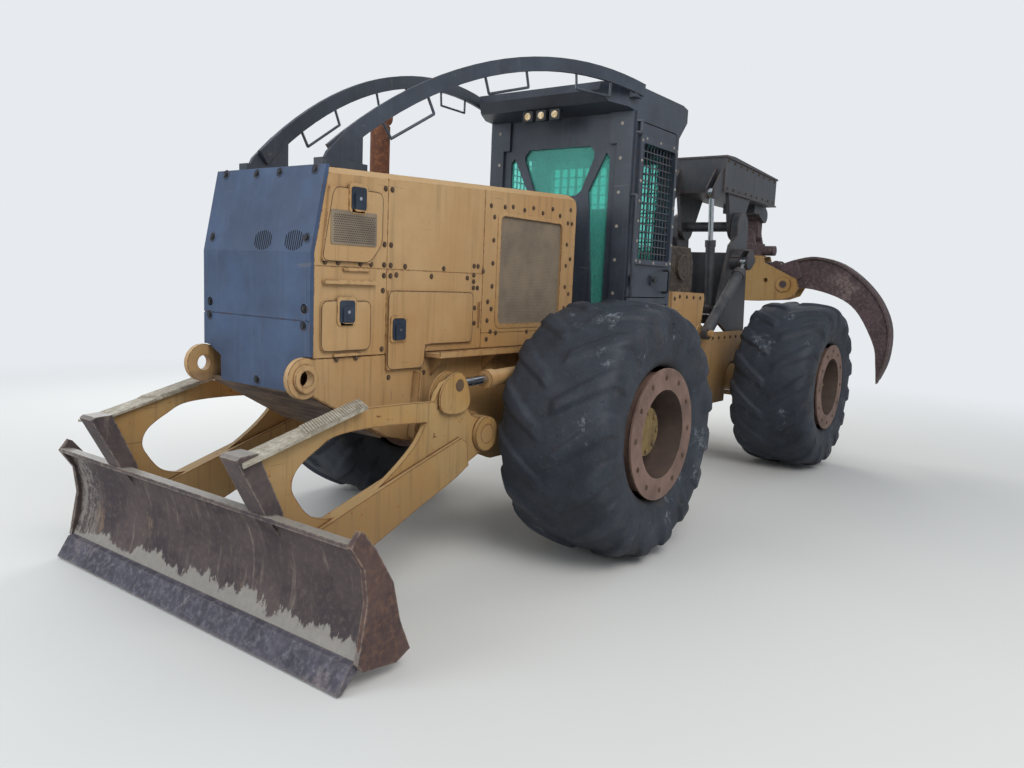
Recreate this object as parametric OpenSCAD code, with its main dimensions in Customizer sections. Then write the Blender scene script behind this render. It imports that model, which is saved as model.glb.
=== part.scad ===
// Articulated grapple skidder.
// +X forward, +Y left, +Z up, millimetres. The origin is on the ground under the machine's middle.
// Every x below is counted from the front axle, and place() moves it to the origin.

/* [Layout] */
// Distance from the origin forward to the front axle
front_axle_x = 1455; // [1000:5:2000]
// Distance between the axles
wheelbase = 3900; // [3700:10:4200]
// Half of the track, to the middle of each tyre
half_track = 1144; // [1100:1:1300]
// Half of the distance between the outer faces of the frame's side plates
frame_hw = 475; // [460:5:475]
// Thickness of the frame's side plates
frame_t = 35; // [20:1:60]
// Height of the top edge of both frames
frame_top = 1390; // [1300:5:1450]

/* [Wheels] */
// Tyre radius over the lugs
tyre_r = 880; // [840:5:920]
// Height of the lugs
lug_h = 52; // [20:1:80]
// Tyre width
tyre_w = 780; // [700:10:800]
// Lugs on each half of the tread
lug_count = 16; // [12:1:16]
// Radius of the rim's barrel
rim_r = 406; // [380:1:420]
// Radius of the rim's flange
rim_flange_r = 441; // [430:1:460]
// Radius of the well in the outer face of the wheel
well_r = 298; // [280:1:320]
// Depth of the well
well_d = 250; // [150:5:280]
// Radius of the spindle that a wheel turns on
spindle_r = 65; // [50:1:80]

/* [Hood] */
// Half width of the hood
hood_hw = 480; // [440:5:520]
// Forward end of the hood's straight lower front
hood_front = 2060; // [1950:5:2150]
// Rear end of the hood
hood_rear = -440; // [-460:5:-300]
// Height of the hood's lower edge
hood_bottom = 1395; // [1391:1:1420]
// Height of the hood's top at its front
hood_top_front = 2400; // [2300:5:2500]
// Height of the hood's top at its rear
hood_top_rear = 2500; // [2400:5:2600]
// Height where the front guard starts to lean back
guard_kink = 1950; // [1800:5:2100]
// How far the top of the guard leans back
guard_lean = 95; // [40:5:150]
// Thickness of the hood's panels
hood_t = 24; // [12:1:40]
// Thickness of the service doors
door_t = 16; // [8:1:24]

/* [Cab] */
// Half width of the cab
cab_hw = 710; // [680:5:740]
// Forward face of the cab
cab_front = -880; // [-900:5:-860]
// Rear face of the cab
cab_rear = -1640; // [-1660:5:-1620]
// Height of the doors' lower edge
cab_sill = 1750; // [1700:5:1800]
// Height of the roof's top
cab_top = 3385; // [3350:5:3400]
// Height of the roof's top over its underside
roof_h = 195; // [165:5:220]
// Thickness of the cab's walls
cab_t = 50; // [30:1:60]

/* [Blade] */
// Half width of the blade
blade_hw = 1310; // [1200:5:1400]
// Height of the pivot of the blade's arms
blade_pivot_z = 880; // [850:5:920]
// Distance of that pivot ahead of the front axle
blade_pivot_x = 880; // [860:5:950]
// Distance of each arm's middle plane from the centre
arm_y = 690; // [680:1:700]
// Width of an arm over its flanges
arm_w = 100; // [80:1:104]

/* [Arch and boom] */
// Height of the arch's pivot
arch_pivot_z = 1150; // [1100:5:1200]
// Distance of that pivot behind the front axle
arch_pivot_x = -4170; // [-4200:5:-4150]
// Height of the boom's pivot on the arch
boom_pivot_z = 2550; // [2450:5:2600]
// Distance of that pivot behind the front axle
boom_pivot_x = -4040; // [-4060:5:-4020]
// Half width of the boom
boom_hw = 320; // [280:5:330]
// Forward end of the boom
boom_front = -3620; // [-3650:5:-3600]
// Rear end of the boom
boom_rear = -5230; // [-5300:5:-5150]

/* [Grapple] */
// Distance of the hanging grapple behind the front axle
grapple_x = -5400; // [-5450:5:-5380]
// Height of the pin that the crosshead hangs from
hanger_z = 2790; // [2750:5:2850]
// Height of the tongs' pivots
tong_pivot_z = 1940; // [1900:5:2000]
// Distance of each tong's pivot from the centre
tong_pivot_y = 500; // [460:5:540]
// Thickness of a tong
tong_t = 170; // [100:5:200]

/* [Hidden] */
$fn = 48;

rear_axle_x = -wheelbase;
cab_eave = cab_top - roof_h;
hinge_x = -wheelbase / 2;
axle_z = tyre_r;
fit = 0.05;     // radial clearance of a pin in its bore
seat = 0.3;     // gap between pieces that rest on each other
paint_yellow = "#c9a24e";
paint_black = "#26282b";
rust = "#6e4a35";
steel = "#8d9096";
chrome = "#c8ccd0";
rubber = "#2b2b2d";

// Moves a piece from the front axle's frame to the origin's.
module place() { translate([front_axle_x, 0, 0]) children(); }

// The piece and its mirror image on the machine's right side.
module both_sides() {
    children();
    mirror([0, 1, 0]) children();
}

// An outline in x and z, as a plate from y to y + t.
module plate(y, t) { translate([0, y + t, 0]) rotate([90, 0, 0]) linear_extrude(t) children(); }

// A shaft across the machine, from y to y + length.
module shaft(x, z, r, y, length) {
    translate([x, y + length, z]) rotate([90, 0, 0]) cylinder(r = r, h = length);
}

// A round bar from p to q, both given as [x, z], in the plane y.
module bar(p, q, r, y) {
    d = q - p;
    translate([p[0], y, p[1]]) rotate([0, atan2(d[0], d[1]), 0]) cylinder(r = r, h = norm(d));
}

// A box from corner a to corner b.
module block(a, b) { translate(a) cube(b - a); }

// A plate outline with round ends, between two points.
module link_outline(p, q, r1, r2) {
    d = q - p;
    n = [-d[1], d[0]] / norm(d);
    polygon([p + n * r1, q + n * r2, q - n * r2, p - n * r1]);
    translate(p) circle(r1);
    translate(q) circle(r2);
}

// Tyre and rim

// The tyre is one closed surface built by columns round the wheel and rows across the tread. Each pitch of
// the tread has four columns: gap, lug, lug, gap. Its rows run from the middle out over the shoulder.
pitch = 360 / lug_count;
columns = 4 * lug_count;
ring = 2 * lug_count;
tread_r = tyre_r - lug_h;
tyre_bead_r = rim_r / cos(180 / ring) + 0.3;
lug_side = 0.9;     // how far a lug's flank leans, in degrees
lug_angle = 4.4;    // a lug's width at its top, in degrees
lug_skew = 19;      // how far a lug runs round the tyre from the middle to the shoulder, in degrees
column_angle = [0, lug_side, lug_side + lug_angle, 2 * lug_side + lug_angle];
hw = tyre_w / 2;

// Rows of the tread: distance from the middle, radius of the gap, radius of the lug, share of the skew
tread_rows = [[26, tread_r, tyre_r, 0], [hw - 60, tread_r - 14, tyre_r - 8, 0.86], [hw - 6, tread_r - 92, tyre_r - 84, 1.02]];
// Rows of the side and the lining: distance from the middle, radius
side_rows = [[hw, 640], [372, rim_flange_r + 8], [371.5, tyre_bead_r], [292, tyre_bead_r], [hw - 66, tread_r - 74]];

function ring_point(side, w, r, a) = [r * cos(a), r * sin(a), side * w];
function ring_row(side, w, r) = [for (i = [0:ring - 1]) ring_point(side, w, r, i * pitch / 2)];
function half_points(side) = concat(
    [for (row = tread_rows, i = [0:lug_count - 1], c = [0:3])
        ring_point(side, row[0], c == 1 || c == 2 ? row[2] : row[1],
            (i + (side > 0 ? 0 : 0.5)) * pitch + column_angle[c] + lug_skew * row[3])],
    [for (row = side_rows) each ring_row(side, row[0], row[1])]);

// Faces of one half: from the middle ring to the first row, between rows, and from the last row to the side.
shoulder_shift = round(lug_skew * 1.02 / (pitch / 2));
function quad(a, b, c, d) = [[a, b, c], [a, c, d]];
function strip(row_a, row_b, n) = [for (i = [0:n - 1]) each quad(row_a + i, row_b + i, row_b + (i + 1) % n, row_a + (i + 1) % n)];
function zip(r0, c0, shift, out) = [for (i = [0:lug_count - 1]) let (
        a = r0 + (2 * i + shift) % ring, b = r0 + (2 * i + 1 + shift) % ring, d = r0 + (2 * i + 2 + shift) % ring,
        c = [for (k = [0:4]) c0 + (4 * i + k) % columns])
    each [for (t = [[a, c[0], c[1]], [a, c[1], c[2]], [a, c[2], b], [b, c[2], c[3]], [b, c[3], c[4]], [b, c[4], d]])
        out ? [t[2], t[1], t[0]] : t]];
function half_faces(o, side) = let (
        side_o = o + 3 * columns,
        f = concat(zip(0, o, side > 0 ? 0 : 1, false), strip(o, o + columns, columns),
            strip(o + columns, o + 2 * columns, columns),
            zip(side_o, o + 2 * columns, shoulder_shift + (side > 0 ? 0 : 1), true),
            [for (k = [0:3]) each strip(side_o + k * ring, side_o + (k + 1) * ring, ring)]))
    [for (t = f) side > 0 ? [t[0], t[1], t[2]] : [t[2], t[1], t[0]]];

module tyre() {
    half = 3 * columns + 5 * ring;
    lining = ring + 3 * columns + 4 * ring;
    points = concat(ring_row(1, 0, tread_r + 2), half_points(1), half_points(-1));
    faces = concat(half_faces(ring, 1), half_faces(ring + half, -1), strip(lining, lining + half, ring));
    color(rubber) rotate([-90, 0, 0]) rotate(-lug_side) polyhedron(points, faces);
}

// One rim, its outer face towards +Y, with the hub that the wheel is bolted to.
module rim() {
    half = 386;
    wall = 14;
    floor_y = half - well_d;
    color(rust) rotate([-90, 0, 0]) difference() {
        union() {
            rotate_extrude() polygon([[rim_r - wall, -half], [rim_flange_r, -half], [rim_flange_r, -half + 14],
                [rim_r, -half + 14], [rim_r, half - 14], [rim_flange_r, half - 14], [rim_flange_r, half],
                [well_r, half], [well_r, floor_y], [0, floor_y], [0, floor_y - 30], [well_r + 14, floor_y - 30],
                [well_r + 14, half - 16], [rim_r - wall, half - 16]]);
            translate([0, 0, floor_y - 1]) cylinder(r = 205, h = 60);
            translate([0, 0, floor_y + 58]) cylinder(r = 165, h = 70);
            translate([0, 0, floor_y - 190]) cylinder(r = 130, h = 170);
            for (i = [0:11]) rotate(i * 30) translate([255, 0, floor_y - 1]) cylinder(r = 19, h = 34);
            for (i = [0:7]) rotate(i * 45) translate([130, 0, floor_y + 127]) cylinder(r = 14, h = 14);
        }
        translate([0, 0, floor_y - 191]) cylinder(r = spindle_r + fit, h = 171);
    }
}

module wheel_place(x, side) {
    place() translate([x, side * half_track, axle_z]) mirror([0, side < 0 ? 1 : 0, 0]) children();
}

// The housing of one axle, with the spindles that the wheels turn on and the saddle between the frame's plates.
module axle(x, up, inside, saddle) {
    inner = half_track + 386 - well_d - 190;
    place() color(paint_yellow) translate([x, 0, axle_z]) {
        shaft(0, 0, 150, -inner + 8, 2 * (inner - 8));
        shaft(0, 0, spindle_r, -inner - 160, 2 * (inner + 160));
        rotate([0, 90, 0]) translate([0, 0, -260]) cylinder(r = 235, h = 520);
        both_sides() shaft(0, 0, 205, inner - 168, 160);
        block([-saddle, -inside + seat, 100], [saddle, inside - seat, up]);
    }
}

// Front frame

frame_in = frame_hw - frame_t;
nose = [2110, 1290];
lift_anchor = [50, 1250];
arm_pivot = [blade_pivot_x, blade_pivot_z];
lift_lug = [1160, 1210];

module front_frame() {
    place() color(paint_yellow) {
        both_sides() {
            difference() {
                union() {
                    plate(frame_in, frame_t) difference() {
                        union() {
                            polygon([[nose[0] - 20, nose[1] + 100], [nose[0] - 120, frame_top], [-1620, frame_top],
                                [-1740, frame_top - 120], [-1740, 700], [-1500, 620], [500, 620], [760, 720],
                                [1500, 900], [nose[0] - 60, nose[1] - 100]]);
                            translate(nose) circle(110);
                            translate(arm_pivot) circle(170);
                        }
                        axle_notch(0);
                    }
                    shaft(nose[0], nose[1], 75, frame_hw - 1, 20);
                    plate(frame_hw - 1, 60) polygon([[1330, 880], [1290, 1275], [1270, 1275], [1310, 870]]);
                }
                shaft(nose[0], nose[1], 45, frame_in - 1, frame_t + 30);
            }
        }
        plate(-frame_in - 1, 2 * frame_in + 2) {
            polygon([[2048, 1214], [2056, 1190], [1520, 890], [1500, 915]]);
            polygon([[-1740, 1180], [-1700, 1180], [-1700, 1330], [-1740, 1330]]);
            polygon([[-1740, 700], [-1700, 700], [-1700, 850], [-1740, 850]]);
            polygon([[780, 715], [1512, 898], [1512, 926], [780, 745]]);
            polygon([[-940, 860], [-900, 860], [-900, 1160], [-940, 1160]]);
            polygon([[-1500, 620], [-300, 620], [-300, 640], [-1500, 640]]);
            polygon([[150, frame_top - 25], [1400, frame_top - 25], [1400, frame_top], [150, frame_top]]);
        }
        both_sides() for (x = [220, 1260]) block([x, -frame_in - 1, frame_top - 60], [x + 60, -frame_in + 200, frame_top]);
        both_sides() {
            for (z = [steer_z - 60, steer_z + 35]) translate([0, 0, z]) linear_extrude(25) union() {
                translate(steer_front) circle(65);
                polygon([[steer_front[0], 165], [steer_front[0], 295], [-939, 330], [-939, 130]]);
            }
            translate([steer_front[0], steer_front[1], steer_z - 60]) cylinder(r = 30, h = 120);
        }
        hinge_ears(1290, 60, 1);
        hinge_ears(740, 60, 1);
    }
}

// Bosses welded to the side plates, with the pins of the blade's arms and of its cylinders
module blade_mounts() {
    place() color(paint_yellow) both_sides() {
        shaft(arm_pivot[0], arm_pivot[1], 130, frame_hw + seat, arm_mid - 50 - frame_hw - seat);
        shaft(arm_pivot[0], arm_pivot[1], 60, arm_mid - 51, arm_w + 51);
        shaft(lift_anchor[0], lift_anchor[1], 105, frame_hw + seat, arm_y - 66 - frame_hw - seat);
        shaft(lift_anchor[0], lift_anchor[1], 35, arm_y - 67, 101);
    }
}

// The notch in a side plate that an axle lies in, x the axle's.
module axle_notch(x) {
    translate([x, axle_z]) circle(172);
    translate([x - 172, 0]) square([344, axle_z]);
}

// One of this frame's ears of the articulation joint, at height z.
module hinge_ears(z, t, dir) {
    difference() {
        translate([hinge_x, 0, z - t / 2]) linear_extrude(t) union() {
            circle(150);
            polygon([[0, -150], [0, 150], [dir * 245, 330], [dir * 245, -330]]);
        }
        translate([hinge_x, 0, z - t]) cylinder(r = 60 + fit, h = 2 * t);
    }
}

module engine() {
    place() color(paint_yellow) block([150, -300, frame_top + seat], [1400, 300, 2250]);
}

// Hood

hood_corner = 100;  // radius of the hood's upper rear corner
hood_slope = (hood_top_rear - hood_top_front) / (hood_front - guard_lean - hood_rear - hood_corner);
function hood_top(x) = hood_top_front + (hood_front - guard_lean - x) * hood_slope;

// The hood from its side. A negative grow gives the inside.
module hood_outline(grow) {
    foot = hood_bottom - (grow < 0 ? 50 : 0);
    top = hood_top_rear + grow;
    polygon(concat([[hood_rear, foot], [hood_front + grow, foot], [hood_front + grow, guard_kink],
        [hood_front - guard_lean + grow, hood_top_front + grow]],
        [for (a = [90:15:180]) [hood_rear - grow + hood_corner * (1 + cos(a)), top + hood_corner * (sin(a) - 1)]]));
}

// The hood from its front, with its long edges chamfered.
module hood_front_outline() {
    polygon([[-hood_hw, 1300], [hood_hw, 1300], [hood_hw, hood_top_front - 34], [hood_hw - 34, hood_top_front],
        [hood_hw - 34, 2700], [-hood_hw + 34, 2700], [-hood_hw + 34, hood_top_front], [-hood_hw, hood_top_front - 34]]);
}

// A rectangle with round corners, from a to b.
module panel(a, b, r) { translate(a + [r, r]) offset(r = r) square(b - a - [2 * r, 2 * r]); }

// x and z of the lower rear and upper front corners of the side screen
screen = [[-262, 1540], [500, 2285]];
seam_w = 5;
seam_d = 4;
module hood() {
    place() color(paint_yellow) difference() {
        intersection() {
            plate(-hood_hw, 2 * hood_hw) hood_outline(0);
            translate([hood_rear, 0, 0]) shear_top() translate([-10, 0, 0]) rotate([90, 0, 90])
                linear_extrude(hood_front - hood_rear + 20) hood_front_outline();
        }
        plate(-hood_hw + hood_t, 2 * (hood_hw - hood_t)) hood_outline(-hood_t);
        block([hood_front - 150, -hood_hw + hood_t, hood_bottom - 10], [hood_front + 10, hood_hw - hood_t, 2300]);
        block([hood_rear - 10, -hood_hw + 60, hood_bottom - 10], [hood_rear + 50, hood_hw - 60, 2400]);
        both_sides() {
            plate(hood_hw - hood_t - 5, hood_t + 10) panel(screen[0], screen[1], 45);
            for (x = [1535, 660]) block([x, hood_hw - seam_d, hood_bottom - 1], [x + seam_w, hood_hw + 1, 2700]);
            block([660, hood_hw - seam_d, 1880], [hood_front + 1, hood_hw + 1, 1880 + seam_w]);
            block([hood_rear - 1, hood_hw - seam_d, 1490], [660, hood_hw + 1, 1490 + seam_w]);
        }
        for (x = [1535, 660]) block([x, -hood_hw - 1, hood_top(x) - seam_d], [x + seam_w, hood_hw + 1, hood_top(x) + 50]);
    }
}

// Tilts the chamfered outline to follow the slope of the hood's top.
module shear_top() {
    multmatrix([[1, 0, 0, 0], [0, 1, 0, 0], [-hood_slope, 0, 1, hood_top(hood_rear) - hood_top_front], [0, 0, 0, 1]]) children();
}

// Fine screens over the side openings, each a plain sheet
module hood_screens() {
    place() color(rust) both_sides() plate(hood_hw - hood_t, hood_t - 4)
        panel(screen[0] + [seat, seat], screen[1] - [seat, seat], 45);
}

// The service doors, each its outline in x and z and its latch's middle
// The front edge of a door at height z, just behind the guard.
function front_x(z) = min(2020, hood_front - 12 - guard_lean * max(0, z - guard_kink) / (hood_top_front + 10 - guard_kink));

module door_front_upper() {
    difference() {
        polygon([[front_x(1910), 1910], [front_x(2300), 2300], [1590, 2300], [1590, 2020], [1680, 1910]]);
        for (i = [0:7]) translate([1655, 2018 + i * 19]) square([300, 9]);
    }
}

module door_front_lower() { panel([1670, 1430], [2020, 1700], 30); }

module door_side() { polygon([[1530, 1300], [1225, 1300], [1215, 1440], [770, 1440], [770, 1760], [1530, 1760]]); }

// A service door lying on the hood's side, with its latch at [x, z].
module service_door(latch) {
    place() color(paint_yellow) {
        plate(hood_hw + seat, door_t) children();
        plate(hood_hw + seat + door_t - 1, 8) panel(latch - [45, 62], latch + [45, 62], 12);
        plate(hood_hw + seat + door_t + 6, 14) panel(latch - [32, 50], latch + [32, 20], 8);
    }
}
latch_upper = [1780, 2232];
latch_lower = [1850, 1628];
latch_side = [1450, 1540];

guard_t = 25;
guard_split = 1590;     // height of the seam between the guard's two plates
module front_guard() {
    out = hood_hw - seat;
    low = frame_in - 8;
    place() color(paint_black) difference() {
        intersection() {
            plate(-out, 2 * out) polygon([[hood_front + seat, 1200], [hood_front + guard_t, 1200],
                [hood_front + guard_t, guard_kink], [hood_front - guard_lean + guard_t, hood_top_front + 10],
                [hood_front - guard_lean + seat, hood_top_front + 10], [hood_front + seat, guard_kink]]);
            translate([1800, 0, 0]) rotate([90, 0, 90]) linear_extrude(400) polygon([[-low + 120, 1200], [low - 120, 1200],
                [low - 120, 1345], [low, frame_top + 12], [out, frame_top + 12], [out, 2500], [-out, 2500], [-out, frame_top + 12],
                [-low, frame_top + 12], [-low + 120, 1345]]);
        }
        block([hood_front + guard_t - 6, -out - 1, guard_split - 3], [hood_front + guard_t + 1, out + 1, guard_split + 3]);
        for (side = [1, -1], i = [-4:4]) let (h = sqrt(100 * 100 - pow(i * 22, 2)))
            block([hood_front - 60, side * 215 + i * 22 - 5, 1745 - h], [hood_front + 60, side * 215 + i * 22 + 5, 1745 + h]);
    }
}

// Exhaust, limb risers and steps

stack_x = 1150;
module exhaust() {
    foot = hood_top(stack_x - 100) + seat;
    place() color(rust) translate([stack_x, 0, 0]) {
        translate([0, 0, foot]) cylinder(r = 62, h = 336);
        translate([-70, 0, foot + 335]) rotate([90, 0, 0]) rotate_extrude(angle = 75) translate([70, 0]) circle(55);
        translate([0, 0, foot]) cylinder(r = 90, h = 12);
    }
}

// The arc of a limb riser, from the bracket on the hood to the cab's roof: [x, z].
riser_low = [1650, 2640];
riser_mid = [400, cab_top - 130];
riser_high = [-900, cab_top - 55];
riser_deep = 90;
riser_t = 26;
riser_splay = 9.8;

function circle_centre(a, b, c) = let (
    d = 2 * (a[0] * (b[1] - c[1]) + b[0] * (c[1] - a[1]) + c[0] * (a[1] - b[1])),
    a2 = a * a, b2 = b * b, c2 = c * c)
    [(a2 * (b[1] - c[1]) + b2 * (c[1] - a[1]) + c2 * (a[1] - b[1])) / d,
     (a2 * (c[0] - b[0]) + b2 * (a[0] - c[0]) + c2 * (b[0] - a[0])) / d];

riser_c = circle_centre(riser_low, riser_mid, riser_high);
riser_r = norm(riser_low - riser_c);
function riser_angle(p) = atan2(p[1] - riser_c[1], p[0] - riser_c[0]);
riser_a0 = riser_angle(riser_low) - 3.5;
riser_a1 = riser_angle(riser_high);

module arc_band(c, r, a0, a1, deep, steps) {
    outer = [for (i = [0:steps]) let (a = a0 + (a1 - a0) * i / steps) c + (r + deep / 2) * [cos(a), sin(a)]];
    inner = [for (i = [steps:-1:0]) let (a = a0 + (a1 - a0) * i / steps) c + (r - deep / 2) * [cos(a), sin(a)]];
    polygon(concat(outer, inner));
}

module limb_risers() {
    place() color(paint_black) both_sides() {
        translate([riser_low[0], 330, 0]) rotate([0, 0, -riser_splay]) translate([-riser_low[0], 0, 0]) {
            plate(-riser_t / 2, riser_t) arc_band(riser_c, riser_r, riser_a0, riser_a1, riser_deep, 22);
            for (a = [0.2, 0.5, 0.8]) grab_rod(riser_a0 + (riser_a1 - riser_a0) * a);
        }
        difference() {
            block([1600, 295, 2380], [1920, 372, 2460]);
            block([1500, 200, 2200], [2100, 500, hood_top(1600) + seat]);
        }
        plate(318, 24) polygon([[1610, hood_top(1600) + 6], [1900, hood_top(1600) + 6], [1860, 2500], [1720, 2640], [1610, 2640]]);
        block([-860, cab_roof_hw + seat, cab_top - 115], [-760, riser_y(-860) - 6, cab_top - 35]);
    }
}

// Distance of a riser's middle plane from the centre, at x.
function riser_y(x) = 330 + (riser_low[0] - x) * tan(riser_splay);

// A bent rod hanging under a limb riser as a grab handle.
module grab_rod(a) {
    r = riser_r - riser_deep / 2;
    span = 3.2;
    p = riser_c + (r + 10) * [cos(a - span), sin(a - span)];
    q = riser_c + (r + 10) * [cos(a + span), sin(a + span)];
    p1 = riser_c + (r - 100) * [cos(a - span), sin(a - span)];
    q1 = riser_c + (r - 100) * [cos(a + span), sin(a + span)];
    for (ends = [[p, p1], [q, q1], [p1, q1]]) bar(ends[0], ends[1], 9, 0, $fn = 8);
}

walk_in = max(frame_hw, hood_hw) + seat;
module steps() {
    place() color(paint_yellow) both_sides() {
        block([80, walk_in, frame_top - 28], [1200, walk_in + 130, frame_top - 4]);
        block([80, walk_in + 118, frame_top - 4], [1200, walk_in + 130, frame_top + 12]);
        for (x = [180, 620, 1130]) plate_across(x, 14) polygon([[frame_hw + seat, frame_top - 27.5],
            [walk_in + 110, frame_top - 27.5], [walk_in + 90, frame_top - 50], [frame_hw + seat, frame_top - 150]]);
    }
}

// An outline in y and z, as a plate from x to x + t.
module plate_across(x, t) { translate([x, 0, 0]) rotate([90, 0, 90]) linear_extrude(t) children(); }

// Cab

cab_roof_hw = 700;
door_gap = [[-1600, cab_sill], [-915, cab_eave - 60]];     // x and z of the opening for a door
// Outlines of the front windows in y and z
glass_top = cab_eave - 240;
windshield = [[-180, glass_top - 390], [180, glass_top - 390], [235, glass_top - 350], [345, glass_top - 90],
    [345, glass_top - 50], [300, glass_top], [-300, glass_top], [-345, glass_top - 50], [-345, glass_top - 90],
    [-235, glass_top - 350]];
strip_window = [[380, 1640], [490, 1640], [490, glass_top - 100], [455, glass_top - 60], [300, glass_top - 360],
    [310, glass_top - 450]];
rear_window = [[-560, 1900], [560, 1900], [560, glass_top + 10], [-560, glass_top + 10]];

module cab_shell() {
    place() color(paint_black) difference() {
        union() {
            block([cab_rear, -cab_hw, frame_top + seat], [cab_front, cab_hw, cab_eave]);
            both_sides() block([cab_front - 1, cab_hw - 150, 1700], [cab_front + 28, cab_hw - 12, cab_eave]);
            both_sides() block([cab_front - 1, cab_hw - 215, cab_eave - 240], [cab_front + 28, cab_hw - 149, cab_eave]);
        }
        block([cab_rear + cab_t, -cab_hw + cab_t, frame_top + 60], [cab_front - cab_t, cab_hw - cab_t, cab_eave + 1]);
        both_sides() plate(cab_hw - cab_t - 1, cab_t + 2) panel(door_gap[0], door_gap[1], 40);
        plate_across(cab_front - cab_t - 1, 90) {
            polygon(windshield);
            polygon(strip_window);
            mirror([1, 0]) polygon(strip_window);
        }
        plate_across(cab_rear - 1, cab_t + 2) polygon(rear_window);
        both_sides() block([-1600, cab_hw - 8, 1480], [-915, cab_hw + 1, 1700]);
    }
    place() color(paint_black) both_sides() for (z = cab_hinge_z) {
        translate([cab_hinge[0], cab_hinge[1], z - 50]) cylinder(r = hinge_pin_r, h = 100);
        for (low = [z - 50, z + 36]) translate([0, 0, low]) linear_extrude(14) union() {
            translate(cab_hinge) circle(17);
            polygon([[-911, cab_hw - 1], [-884, cab_hw - 1], cab_hinge + [15, 6], cab_hinge - [10, 13]]);
        }
    }
}

module cab_roof() {
    place() color(paint_black) intersection() {
        plate(-cab_roof_hw, 2 * cab_roof_hw) polygon([[-530, cab_top - 35], [-518, cab_top - 95], [-600, cab_eave + 25],
            [cab_front, cab_eave + seat], [cab_rear - seat, cab_eave + seat], [cab_rear - seat, cab_eave - 110],
            [cab_rear - 160, cab_top - 130], [cab_rear - 160, cab_top - 20], [cab_rear - 60, cab_top],
            [-860, cab_top]]);
        linear_extrude(4000) polygon([[-500, 565], [-760, cab_roof_hw], [-2000, cab_roof_hw], [-2000, -cab_roof_hw],
            [-760, -cab_roof_hw], [-500, -565]]);
    }
}

module cab_glass() {
    place() color("#7fc6bd", 0.5) {
        plate_across(cab_front - 32, 8) offset(delta = -seat) {
            polygon(windshield);
            polygon(strip_window);
            mirror([1, 0]) polygon(strip_window);
        }
        plate_across(cab_rear + 22, 8) offset(delta = -seat) polygon(rear_window);
    }
}

module cab_screens() {
    bar = 10;
    step = 84;
    place() color(paint_black) difference() {
        block([cab_rear - 34, -600, 1860], [cab_rear - seat, 600, cab_eave - 190]);
        for (y = [-560:step:520], z = [1900:step:cab_eave - 290])
            block([cab_rear - 40, y, z], [cab_rear + 5, y + step - bar, z + step - bar]);
    }
}

// The hinges of a cab door: x and y of their pins, and the heights.
cab_hinge = [-923, 735];
cab_hinge_z = [cab_sill + 130, cab_eave - 112];
hinge_pin_r = 9;

// x and z of the window in a door
door_window = [[-1545, 2060], [-975, cab_eave - 225]];
module cab_door(side) {
    g = 8;
    bar = 9;
    step = 57;
    place() color(paint_black) mirror([0, side < 0 ? 1 : 0, 0]) {
        difference() {
            union() {
                plate(cab_hw - cab_t + 6, cab_t - 6) panel(door_gap[0] + [g, g], door_gap[1] - [g, g], 34);
                plate(cab_hw - 1, 26) difference() {
                    panel(door_window[0] - [40, 40], door_window[1] + [40, 60], 20);
                    panel(door_window[0], door_window[1], 30);
                }
            }
            plate(cab_hw - cab_t, cab_t - 10) panel(door_window[0], door_window[1], 30);
            for (i = [0:9], k = [0:15]) translate([door_window[0][0] + 2 + i * step, cab_hw - 20, door_window[0][1] + 2 + k * step])
                cube([step - bar, 40, step - bar]);
        }
        plate(cab_hw - 1, 22) panel([-1340, cab_sill + 110], [-1250, cab_sill + 190], 10);
        for (z = cab_hinge_z) translate([0, 0, z - 34]) linear_extrude(68) difference() {
            union() {
                translate(cab_hinge) circle(17);
                polygon([[-985, cab_hw - 1], cab_hinge - [0, 26], cab_hinge - [0, 10], [-985, cab_hw + 8]]);
            }
            translate(cab_hinge) circle(hinge_pin_r + seat);
        }
    }
}

module cab_interior() {
    floor = frame_top + 60;
    place() color("#3a3a3c") {
        union() {
            block([-1480, -200, floor + seat], [-1180, 200, 1801]);
            block([-1540, -260, 1800], [-1120, 260, 1920]);
            plate(-250, 500) polygon([[-1540, 1919], [-1430, 1919], [-1480, 2500], [-1560, 2520]]);
        }
        both_sides() block([-1500, 300, floor + seat], [-1200, 420, 2080]);
        block([cab_front - cab_t - 110, -200, floor + seat], [cab_front - cab_t - seat, 200, 2400]);
    }
}

// Work lights under the front and rear edges of the roof
module lamps() {
    place() color("#e8e4d8") {
        for (y = [-170, 0, 170]) block([-640, y - 48, cab_eave - 64], [-590, y + 48, cab_eave + 21]);
        both_sides() block([cab_rear - 95, 560, cab_eave - 150], [cab_rear - 35 - seat, 660, cab_eave - 72]);
    }
}

// Blade

mold_low = [2490, 128];
mold_mid = [2424, 390];
mold_high = [2500, 668];
mold_t = 26;
mold_c = circle_centre(mold_low, mold_mid, mold_high);
mold_r = norm(mold_low - mold_c);
function mold_angle(p) = (atan2(p[1] - mold_c[1], p[0] - mold_c[0]) + 360) % 360;
function mold_arc(r) = [for (i = [0:10]) let (a = mold_angle(mold_low) + (mold_angle(mold_high) - mold_angle(mold_low)) * i / 10)
    mold_c + r * [cos(a), sin(a)]];
post_back = [[2440, 690], [2585, 1005]];    // rear edge of the posts on top of the moldboard

// The moldboard from its side, and the post that stands on it in front of each arm.
module moldboard_outline() {
    polygon(concat(mold_arc(mold_r), [for (i = [10:-1:0]) mold_arc(mold_r + mold_t)[i]]));
    polygon([mold_high - [mold_t, 6], mold_high + [52, 4], mold_high + [50, 26], mold_high + [-mold_t, 18]]);
}

module post_outline() {
    polygon([mold_arc(mold_r)[8], [2535, 680], [2700, 985], [2680, 1000], post_back[1], post_back[0],
        mold_arc(mold_r + mold_t - 4)[8]]);
}

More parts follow.
